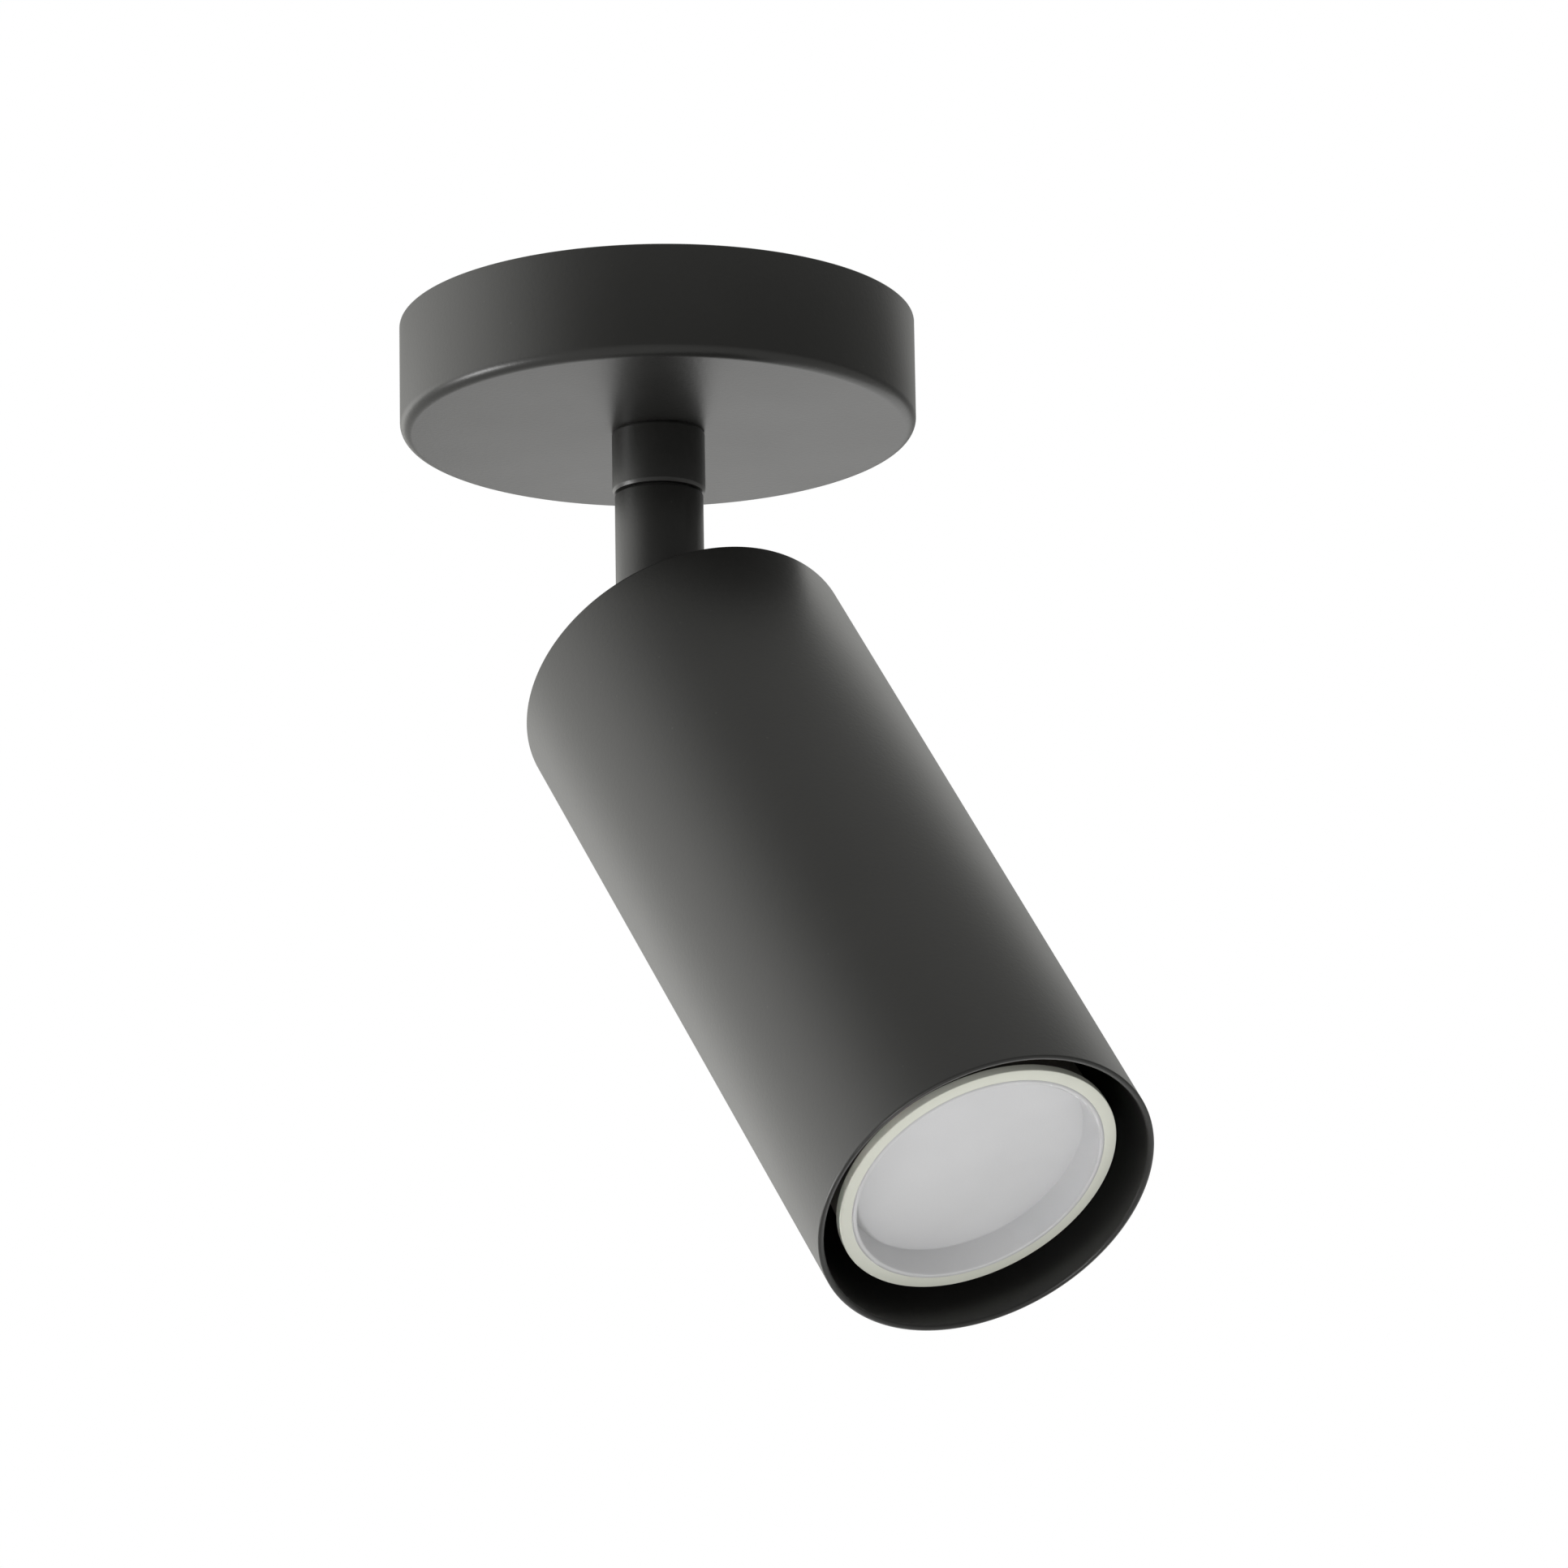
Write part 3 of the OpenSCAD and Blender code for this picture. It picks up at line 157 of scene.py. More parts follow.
class NodeBench:
    """Builds the node tree of one finish, or of the room's light."""

    def __init__(self, owner: bpy.types.Material | bpy.types.World, shader: str = "Principled BSDF") -> None:
        """Start from the owner's plain shader.

        Args:
            owner: The material or the world.
            shader: The name of its shader node.
        """
        self.owner = owner
        owner.use_nodes = True
        self.tree = owner.node_tree
        self.shader = self.tree.nodes[shader]
        self._place: bpy.types.NodeSocket | None = None

    @classmethod
    def finish_named(cls, name: str) -> "NodeBench":
        """Start a new material.

        Args:
            name: The material's name.

        Returns:
            Its bench.
        """
        return cls(bpy.data.materials.new(name))

    def node(
        self,
        kind: str,
        settings: dict[str, object] | None = None,
        values: dict[str | int, object] | None = None,
    ) -> bpy.types.Node:
        """Add a node, set it and feed it.

        Args:
            kind: The node's type.
            settings: Its own settings, which are set first.
            values: Numbers, colours, levels or sockets for its inputs.

        Returns:
            The new node.
        """
        made = self.tree.nodes.new(kind)
        for key, setting in (settings or {}).items():
            setattr(made, key, setting)
        for key, value in (values or {}).items():
            self.feed(made.inputs[key], value)
        return made

    def feed(self, socket: bpy.types.NodeSocket, value: object) -> None:
        """Link a socket or set its value.

        Args:
            socket: The input to feed.
            value: A level, a socket, a number or a colour.
        """
        if isinstance(value, Level):
            value = value.socket
        if isinstance(value, bpy.types.NodeSocket):
            self.tree.links.new(value, socket)
        elif isinstance(value, tuple) and socket.type == "RGBA":
            socket.default_value = (*value, 1.0)
        else:
            socket.default_value = value

    def place(self) -> bpy.types.NodeSocket:
        """Return the point on the piece, in metres, that every pattern reads."""
        if self._place is None:
            self._place = self.node("ShaderNodeTexCoord").outputs["Object"]
        return self._place

    def stretched(self, scale: tuple[float, float, float]) -> bpy.types.NodeSocket:
        """Return the point on the piece with its three directions scaled."""
        return self.node("ShaderNodeMapping", None, {"Vector": self.place(), "Scale": scale}).outputs[0]

    def grain(
        self, per_metre: float, detail: float = 2.0, rough: float = 0.5, at: bpy.types.NodeSocket | None = None
    ) -> Level:
        """Lay soft noise over the piece.

        Args:
            per_metre: How many spots go into a metre.
            detail: How many finer layers it has.
            rough: How strong the finer layers are.
            at: The point that it reads, if not the plain one.

        Returns:
            Noise round 0.5.
        """
        made = self.node(
            "ShaderNodeTexNoise",
            {"noise_dimensions": "3D"},
            {"Vector": at or self.place(), "Scale": per_metre, "Detail": detail, "Roughness": rough},
        )
        return Level(self, made.outputs["Fac"])

    def specks(self, per_metre: float, size: float) -> Level:
        """Scatter small round specks.

        Args:
            per_metre: How many cells go into a metre.
            size: The speck's radius as a share of a cell.

        Returns:
            A mask that is 1 on a speck.
        """
        cells = self.node(
            "ShaderNodeTexVoronoi",
            {"voronoi_dimensions": "3D", "feature": "F1"},
            {"Vector": self.place(), "Scale": per_metre},
        )
        return 1.0 - Level(self, cells.outputs["Distance"]).above(size * 0.6, size * 0.4)

    def blend(self, mask: Level, low: object, high: object) -> bpy.types.NodeSocket:
        """Mix two colours by a mask.

        Args:
            mask: 0 for the first colour, 1 for the second.
            low: The first colour or its socket.
            high: The second colour or its socket.

        Returns:
            The mixed colour.
        """
        made = self.node(
            "ShaderNodeMix", {"data_type": "RGBA", "blend_type": "MIX"}, {0: mask, 6: low, 7: high}
        )
        return made.outputs[2]

    def relief(self, height: Level, strength: float, depth: float) -> bpy.types.NodeSocket:
        """Turn a height into a bumped normal.

        Args:
            height: The height over the surface.
            strength: How much of the bump shows.
            depth: The height of a full step in metres.

        Returns:
            The bumped normal.
        """
        made = self.node("ShaderNodeBump", None, {"Strength": strength, "Distance": depth, "Height": height})
        return made.outputs[0]

    def finish(self, **values: object) -> bpy.types.Material:
        """Feed the shader.

        Args:
            **values: The shader's inputs, with underscores for spaces.

        Returns:
            The finished material.
        """
        for key, value in values.items():
            self.feed(self.shader.inputs[key.replace("_", " ")], value)
        return self.owner


# Finishes


@dataclass(frozen=True)
class PowderCoat:
    """Fine satin powder coat on sheet metal: an even black with a faint orange peel."""

    name: str = "satin_black_powder_coat"
    shade: Colour = (0.0130, 0.0129, 0.0124)
    bloom: Colour = (0.0172, 0.0170, 0.0163)
    dust_colour: Colour = (0.06, 0.059, 0.057)
    roughness: float = 0.34
    peel: float = 0.10
    peel_per_metre: float = 1300.0
    sand_per_metre: float = 5200.0
    cloud_per_metre: float = 38.0
    dust_per_metre: float = 210.0
    dust_size: float = 0.045
    depth: float = 0.00025

    def make(self) -> bpy.types.Material:
        """Return the material."""
        bench = NodeBench.finish_named(self.name)
        peel = bench.grain(self.peel_per_metre, 2.0)
        sand = bench.grain(self.sand_per_metre, 1.0)
        cloud = bench.grain(self.cloud_per_metre, 3.0, 0.6)
        dust = bench.specks(self.dust_per_metre, self.dust_size)
        colour = bench.blend(cloud.above(0.35, 0.35) * 0.7 + sand * 0.25, self.shade, self.bloom)
        height = peel * 0.8 + sand * 0.2
        return bench.finish(
            Base_Color=bench.blend(dust * 0.35, colour, self.dust_colour),
            Roughness=self.roughness - 0.03 + cloud * 0.06 + sand * 0.04,
            Normal=bench.relief(height, self.peel, self.depth),
        )


@dataclass(frozen=True)
class Plating:
    """Bright plated or plain metal with soft stains and fine rubbed lines."""

    name: str
    bright: Colour
    dull: Colour
    roughness: float = 0.3
    lines: float = 0.08
    stain_per_metre: float = 140.0
    lines_per_metre: float = 900.0
    stretch: tuple[float, float, float] = (1.0, 0.12, 1.0)
    depth: float = 0.0001

    def make(self) -> bpy.types.Material:
        """Return the material."""
        bench = NodeBench.finish_named(self.name)
        stain = bench.grain(self.stain_per_metre, 4.0, 0.6).above(0.42, 0.3)
        rubbed = bench.grain(self.lines_per_metre, 2.0, 0.5, bench.stretched(self.stretch))
        return bench.finish(
            Base_Color=bench.blend(stain * 0.6 + rubbed * 0.2, self.bright, self.dull),
            Metallic=1.0,
            Roughness=self.roughness + stain * 0.12 + rubbed * 0.08,
            Normal=bench.relief(rubbed, self.lines, self.depth),
        )


@dataclass(frozen=True)
class Moulding:
    """Moulded plastic or glazed ceramic: an even colour, a faint flow mark and a fine skin."""

    name: str
    colour: Colour
    shadow: Colour
    roughness: float = 0.45
    skin: float = 0.06
    per_metre: float = 2400.0
    coat: float = 0.0
    coat_roughness: float = 0.12
    flow_per_metre: float = 90.0
    depth: float = 0.0002

    def make(self) -> bpy.types.Material:
        """Return the material."""
        bench = NodeBench.finish_named(self.name)
        skin = bench.grain(self.per_metre, 2.0)
        flow = bench.grain(self.flow_per_metre, 3.0, 0.55)
        return bench.finish(
            Base_Color=bench.blend(flow.above(0.35, 0.4) * 0.6, self.colour, self.shadow),
            Roughness=self.roughness - 0.04 + flow * 0.08,
            Coat_Weight=self.coat,
            Coat_Roughness=self.coat_roughness,
            Normal=bench.relief(skin, self.skin, self.depth),
        )


@dataclass(frozen=True)
class FrostedDisc:
    """Frosted diffuser: a milky plastic with a fine etched grain that light sinks into."""

    name: str = "frosted_diffuser"
    colour: Colour = (0.60, 0.60, 0.615)
    shadow: Colour = (0.55, 0.55, 0.565)
    roughness: float = 0.52
    etch: float = 0.12
    etch_per_metre: float = 3800.0
    cloud_per_metre: float = 60.0
    scatter: float = 0.25
    scatter_depth: float = 0.002
    depth: float = 0.00015

    def make(self) -> bpy.types.Material:
        """Return the material."""
        bench = NodeBench.finish_named(self.name)
        etch = bench.grain(self.etch_per_metre, 2.0, 0.6)
        cloud = bench.grain(self.cloud_per_metre, 2.0)
        return bench.finish(
            Base_Color=bench.blend(cloud.above(0.35, 0.4) * 0.6 + etch * 0.3, self.colour, self.shadow),
            Roughness=self.roughness + etch * 0.1,
            Subsurface_Weight=self.scatter,
            Subsurface_Radius=(1.0, 1.0, 1.0),
            Subsurface_Scale=self.scatter_depth,
            Normal=bench.relief(etch, self.etch, self.depth),
        )


@dataclass(frozen=True)
class Sleeve:
    """Rubbery sleeve of a lead, with a second colour that winds round it where it has one."""

    name: str
    colour: Colour
    stripe: Colour | None = None
    roughness: float = 0.42
    skin: float = 0.1
    skin_per_metre: float = 1800.0
    shadow: float = 0.6
    bands_per_metre: float = 55.0
    wobble: float = 0.6
    depth: float = 0.00015

    def make(self) -> bpy.types.Material:
        """Return the material."""
        bench = NodeBench.finish_named(self.name)
        skin = bench.grain(self.skin_per_metre, 2.0)
        shaded = bench.blend(skin * 0.3, self.colour, tuple(self.shadow * part for part in self.colour))
        if self.stripe is not None:
            bands = bench.node(
                "ShaderNodeTexWave",
                {"wave_type": "BANDS", "bands_direction": "DIAGONAL"},
                {"Vector": bench.place(), "Scale": self.bands_per_metre, "Distortion": self.wobble},
            )
            wound = Level(bench, bands.outputs["Fac"]).above(0.42, 0.12)
            shaded = bench.blend(wound, shaded, self.stripe)
        return bench.finish(
            Base_Color=shaded,
            Roughness=self.roughness + skin * 0.12,
            Normal=bench.relief(skin, self.skin, self.depth),
        )


def finishes() -> dict[Slot, bpy.types.Material]:
    """Make every finish of the spotlight.

    Returns:
        One material for each slot of the record.
    """
    recipes = {
        Slot.PAINT: PowderCoat(),
        Slot.NYLON: Moulding("black_nylon", (0.012, 0.012, 0.012), (0.018, 0.018, 0.018), 0.55),
        Slot.BLACK_STEEL: Plating("blackened_steel", (0.07, 0.07, 0.072), (0.03, 0.03, 0.03), 0.38),
        Slot.ZINC: Plating("zinc_plate", (0.62, 0.64, 0.66), (0.42, 0.43, 0.42), 0.28),
        Slot.BRASS: Plating("plain_brass", (0.78, 0.58, 0.26), (0.52, 0.36, 0.13), 0.26),
        Slot.CERAMIC: Moulding("glazed_ceramic", (0.82, 0.80, 0.74), (0.74, 0.71, 0.63), 0.3, 0.04, coat=0.6),
        Slot.BLOCK: Moulding("white_block", (0.78, 0.78, 0.75), (0.70, 0.70, 0.66), 0.4),
        Slot.LIVE: Sleeve("brown_sleeve", (0.15, 0.058, 0.024)),
        Slot.NEUTRAL: Sleeve("blue_sleeve", (0.03, 0.13, 0.42)),
        Slot.EARTH: Sleeve("earth_sleeve", (0.07, 0.30, 0.05), (0.78, 0.66, 0.05)),
        Slot.SHELL: Moulding("pale_lamp_shell", (0.66, 0.67, 0.60), (0.60, 0.605, 0.54), 0.42),
        # Painted shade: the lamp's body is made dark grey-brown so that the gap behind the rim reads as shadow
        Slot.HOUSING: Moulding("painted_shade_lamp_housing", (0.13, 0.12, 0.105), (0.10, 0.092, 0.08), 0.5),
        Slot.FROSTED: FrostedDisc(),
        Slot.BOARD: Moulding("white_solder_mask", (0.70, 0.72, 0.69), (0.62, 0.64, 0.60), 0.35, coat=0.3),
        Slot.LED: Moulding("yellow_phosphor", (0.80, 0.56, 0.08), (0.70, 0.44, 0.05), 0.5),
    }
    return {slot: recipe.make() for slot, recipe in recipes.items()}


# Modelling


def deselect_all() -> None:
    """Leave edit mode and deselect every object."""
    if bpy.context.object is not None and bpy.context.object.mode != "OBJECT":
        bpy.ops.object.mode_set(mode="OBJECT")
    bpy.ops.object.select_all(action="DESELECT")


def choose(piece: bpy.types.Object) -> None:
    """Select one object alone and make it active."""
    deselect_all()
    piece.select_set(True)
    bpy.context.view_layer.objects.active = piece


@contextmanager
def editing(piece: bpy.types.Object) -> Iterator[None]:
    """Edit one object's mesh, with nothing selected at the start.

    Args:
        piece: The object to edit.

    Yields:
        Nothing, while the object is in edit mode.
    """
    choose(piece)
    bpy.ops.object.mode_set(mode="EDIT")
    bpy.ops.mesh.select_all(action="DESELECT")
    yield
    bpy.ops.object.mode_set(mode="OBJECT")


def pick_edges(piece: bpy.types.Object, test: Callable[[Vector, Vector], bool]) -> None:
    """Select the edges of the mesh in edit mode whose two ends pass a test.

    Args:
        piece: The object in edit mode.
        test: Takes both ends of an edge.
    """
    bpy.ops.mesh.select_all(action="DESELECT")
    bpy.ops.mesh.select_mode(type="EDGE")
    mesh = bmesh.from_edit_mesh(piece.data)
    for edge in mesh.edges:
        edge.select_set(test(edge.verts[0].co, edge.verts[1].co))
    bmesh.update_edit_mesh(piece.data)


def on_circle(radius: float, height: float) -> Callable[[Vector, Vector], bool]:
    """Return a test for the edges of one circle round Z.

    Args:
        radius: The circle's radius.
        height: Its height.

    Returns:
        The test.
    """

    def test(first: Vector, second: Vector) -> bool:
        """Say whether both ends lie on the circle."""
        return all(
            abs(end.z - height) < NEAR_HEIGHT and abs(math.hypot(end.x, end.y) - radius) < NEAR
            for end in (first, second)
        )

    return test


def turned(name: str, outline: Outline, segments: int = 160, shut: bool = True) -> bpy.types.Object:
    """Turn a piece on the Z axis by drawing its outline ring after ring.

    Args:
        name: The piece's name.
        outline: Radius and height of each ring.
        segments: How many sides a ring has.
        shut: True joins the last ring to the first, False caps both.

    Returns:
        The new object, with its normals outwards.
    """
    deselect_all()
    radius, height = outline[0]
    bpy.ops.mesh.primitive_circle_add(vertices=segments, radius=radius, location=(0, 0, 0), fill_type="NOTHING")
    piece = bpy.context.object
    piece.name = name
    bpy.ops.object.mode_set(mode="EDIT")
    bpy.ops.mesh.select_all(action="SELECT")
    bpy.ops.transform.translate(value=(0, 0, height))
    if not shut:
        bpy.ops.mesh.edge_face_add()
    for (last_radius, last_height), (radius, height) in zip(outline, outline[1:]):
        bpy.ops.mesh.extrude_edges_move(TRANSFORM_OT_translate={"value": (0, 0, height - last_height)})
        scale = radius / last_radius
        bpy.ops.transform.resize(value=(scale, scale, 1.0), center_override=(0, 0, height))
    if shut:
        pick_edges(piece, lambda first, second: False)
        mesh = bmesh.from_edit_mesh(piece.data)
        for edge in mesh.edges:
            edge.select_set(edge.is_boundary)
        bmesh.update_edit_mesh(piece.data)
        bpy.ops.mesh.bridge_edge_loops()
    else:
        bpy.ops.mesh.edge_face_add()
    bpy.ops.mesh.select_all(action="SELECT")
    bpy.ops.mesh.normals_make_consistent(inside=False)
    bpy.ops.object.mode_set(mode="OBJECT")
    return piece


def rounded(piece: bpy.types.Object, circle: tuple[float, float], radius: float, steps: int) -> None:
    """Round one turned edge.

    Args:
        piece: The turned piece.
        circle: The edge's radius and height.
        radius: The rounding's radius.
        steps: Its number of steps.
    """
    with editing(piece):
        pick_edges(piece, on_circle(*circle))
        bpy.ops.mesh.bevel(offset=radius, offset_type="OFFSET", segments=steps, profile=0.5, affect="EDGES")


def block(name: str, low: Vector, high: Vector) -> bpy.types.Object:
    """Add a block between two corners.

    Args:
        name: The block's name.
        low: Its lowest corner.
        high: Its highest corner.

    Returns:
        The new object.
    """
    deselect_all()
    bpy.ops.mesh.primitive_cube_add(size=1.0, location=(low + high) / 2)
    piece = bpy.context.object
    piece.name = name
    piece.scale = high - low
    settle(piece)
    return piece


def rod(name: str, radius: float, start: Vector, end: Vector, segments: int = 96) -> bpy.types.Object:
    """Add a round bar between two points.

    Args:
        name: The bar's name.
        radius: Its radius.
        start: The middle of one end.
        end: The middle of the other end.
        segments: How many sides it has.

    Returns:
        The new object.
    """
    deselect_all()
    along = end - start
    bpy.ops.mesh.primitive_cylinder_add(vertices=segments, radius=radius, depth=along.length)
    piece = bpy.context.object
    piece.name = name
    piece.matrix_world = Matrix.Translation((start + end) / 2) @ along.to_track_quat("Z", "Y").to_matrix().to_4x4()
    settle(piece)
    return piece


def settle(piece: bpy.types.Object, place: Matrix | None = None) -> None:
    """Put a piece in its place and leave the place in its mesh.

    Args:
        piece: The object.
        place: Where to put it, if it isn't there yet.
    """
    choose(piece)
    if place is not None:
        piece.matrix_world = place @ piece.matrix_world
    bpy.ops.object.transform_apply(location=True, rotation=True, scale=True)


def modified(piece: bpy.types.Object, kind: str, **settings: object) -> None:
    """Add a modifier and apply it.

    Args:
        piece: The object.
        kind: The modifier's type.
        **settings: The modifier's settings.
    """
    choose(piece)
    modifier = piece.modifiers.new(kind.lower(), kind)
    for key, value in settings.items():
        setattr(modifier, key, value)
    bpy.ops.object.modifier_apply(modifier=modifier.name)


def combined(piece: bpy.types.Object, tools: Sequence[bpy.types.Object], operation: str) -> None:
    """Cut, keep or join with other shapes, which are used up.

    Args:
        piece: The object that stays.
        tools: The shapes that cut it or join it.
        operation: DIFFERENCE, INTERSECT or UNION.
    """
    for tool in tools:
        modified(piece, "BOOLEAN", operation=operation, object=tool, solver="EXACT")
        bpy.data.objects.remove(tool)


def smooth(piece: bpy.types.Object, degrees: float = SOFT_ANGLE) -> None:
    """Shade a piece smooth where its faces meet at less than an angle."""
    choose(piece)
    bpy.ops.object.shade_smooth_by_angle(angle=math.radians(degrees))


def cleaned(piece: bpy.types.Object, nearest: float, flat: float) -> None:
    """Merge the doubled points of a mesh and join its flat faces.

    Args:
        piece: The object.
        nearest: Points that lie nearer than this become one.
        flat: Faces that meet at less, in degrees, become one.
    """
    with editing(piece):
        bpy.ops.mesh.select_all(action="SELECT")
        bpy.ops.mesh.remove_doubles(threshold=nearest)
        bpy.ops.mesh.dissolve_limited(angle_limit=math.radians(flat))


def broken(piece: bpy.types.Object, width: float, degrees: float) -> None:
    """Break the edges whose faces meet at more than an angle."""
    modified(piece, "BEVEL", width=width, segments=2, limit_method="ANGLE", angle_limit=math.radians(degrees))


@dataclass
class Shop:
    """The finishes and the list of finished pieces."""

    materials: dict[Slot, bpy.types.Material]
    made: list[str] = field(default_factory=list)
    doubled: float = 2e-6
    flat: float = 0.6

    def hand_over(self, piece: bpy.types.Object, body: Body, slot: Slot, *nodes: str) -> bpy.types.Object:
        """Finish a piece and let it stand for its nodes.

        Args:
            piece: The finished mesh.
            body: The body that it moves with.
            slot: Its material slot.
            *nodes: The nodes that it stands for.

        Returns:
            The piece.
        """
        piece.data.materials.clear()
        piece.data.materials.append(self.materials[slot])
        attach(piece, body.value)
        if nodes:
            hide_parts(*nodes)
        self.made.append(piece.name)
        log.info("%s rides on %s, %d faces", piece.name, body.value, len(piece.data.polygons))
        return piece

    def refined(self, node: str, body: Body, slot: Slot, edge: float = 0.00012, degrees: float = 34.0) -> None:
        """Break the edges of a node's shape and smooth it.

        Args:
            node: The node's name.
            body: The body that it moves with.
            slot: Its material slot.
            edge: The width of the broken edges, or 0 for none.
            degrees: The angle over which an edge is sharp.
        """
        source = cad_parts[node]
        mesh = source.data.copy()
        mesh.name = f"{node}_finished"
        piece = bpy.data.objects.new(f"{node}_finished", mesh)
        bpy.context.scene.collection.objects.link(piece)
        cleaned(piece, self.doubled, self.flat)
        if edge:
            broken(piece, edge, degrees)
        smooth(piece, degrees)
        if edge:
            modified(piece, "WEIGHTED_NORMAL", keep_sharp=True)
        self.hand_over(piece, body, slot, node)


# The object


@dataclass(frozen=True)
class Aim:
    """How the head and its lamp are turned at rest."""

    pivot: float = 0.0575
    tilt: float = 37.7
    lean_back: float = 2.9
    lean_side: float = 2.1
    gap: float = 0.0125
    head_length: float = 0.137
    set_back: float = 0.0039

    def head(self) -> Matrix:
        """Return the head's place: its origin is the pivot and its mouth points down its own Z."""
        return Matrix.Translation((0, 0, -self.pivot)) @ Matrix.Rotation(math.radians(-self.tilt), 4, "X")

    def lamp(self) -> Matrix:
        """Return the lamp's place: its origin is the middle of its rim and Z goes back into the head."""
        rim = Matrix.Translation((0, 0, -self.gap - self.head_length + self.set_back))
        aside = Matrix.Rotation(math.radians(-self.lean_side), 4, "Y")
        return self.head() @ rim @ aside @ Matrix.Rotation(math.radians(self.lean_back), 4, "X")


@dataclass
class CeilingRose:
    """The drawn cup against the ceiling, its collar nut and the thin washer under it."""

    radius: float = 0.0455
    height: float = 0.020
    wall: float = 0.001
    edge: float = 0.0021
    hole: float = 0.00505
    collar_radius: float = 0.0082
    collar_height: float = 0.0111
    collar_ease: float = 0.00045
    foot_width: float = 0.0003
    foot_height: float = 0.0006
    washer_radius: float = 0.0068
    washer_height: float = 0.0004
    washer_edge: float = 0.0001
    collar_shading: float = 24.0

    def shell(self, shop: Shop) -> None:
        """Turn the drawn shell and round its edges."""
        inner = self.radius - self.wall
        floor = -self.height + self.wall
        piece = turned(
            "rose_shell",
            [
                (self.radius, 0.0),
                (self.radius, -self.height),
                (self.hole, -self.height),
                (self.hole, floor),
                (inner, floor),
                (inner, 0.0),
            ],
            segments=192,
        )
        rounded(piece, (self.radius, -self.height), self.edge, 12)
        rounded(piece, (inner, floor), self.edge - self.wall, 6)
        rounded(piece, (self.radius, 0.0), self.wall / 4, 3)
        rounded(piece, (inner, 0.0), self.wall / 4, 3)
        smooth(piece)
        shop.hand_over(piece, Body.CEILING, Slot.PAINT, "rose")

    def collar(self, shop: Shop) -> None:
        """Turn the collar nut, eased at its top and chamfered at its foot."""
        top = -self.height
        low = top - self.collar_height
        face = self.collar_radius - self.collar_ease / 2
        piece = turned(
            "collar",
            [
                (face, top),
                (self.collar_radius, top - self.collar_ease),
                (self.collar_radius, low + self.foot_height),
                (self.collar_radius - self.foot_width, low),
                (self.hole, low),
                (self.hole, top),
            ],
            segments=128,
        )
        rounded(piece, (self.collar_radius, top - self.collar_ease), self.collar_ease / 6, 3)
        rounded(piece, (self.collar_radius, low + self.foot_height), self.foot_width / 3, 3)
        smooth(piece, self.collar_shading)
        shop.hand_over(piece, Body.CEILING, Slot.PAINT, "collar_nut")

    def washer(self, shop: Shop) -> None:
        """Turn the thin washer that shows as a dark line."""
        top = -self.height - self.collar_height
        low = top - self.washer_height
        piece = turned(
            "turning_washer",
            [(self.washer_radius, top), (self.washer_radius, low), (self.hole, low), (self.hole, top)],
            segments=96,
        )
        rounded(piece, (self.washer_radius, low), self.washer_edge, 2)
        smooth(piece)
        shop.hand_over(piece, Body.STEM, Slot.NYLON, "swivel_washer")

    def build(self, shop: Shop) -> None:
        """Build the rose's pieces."""
        self.shell(shop)
        self.collar(shop)
        self.washer(shop)


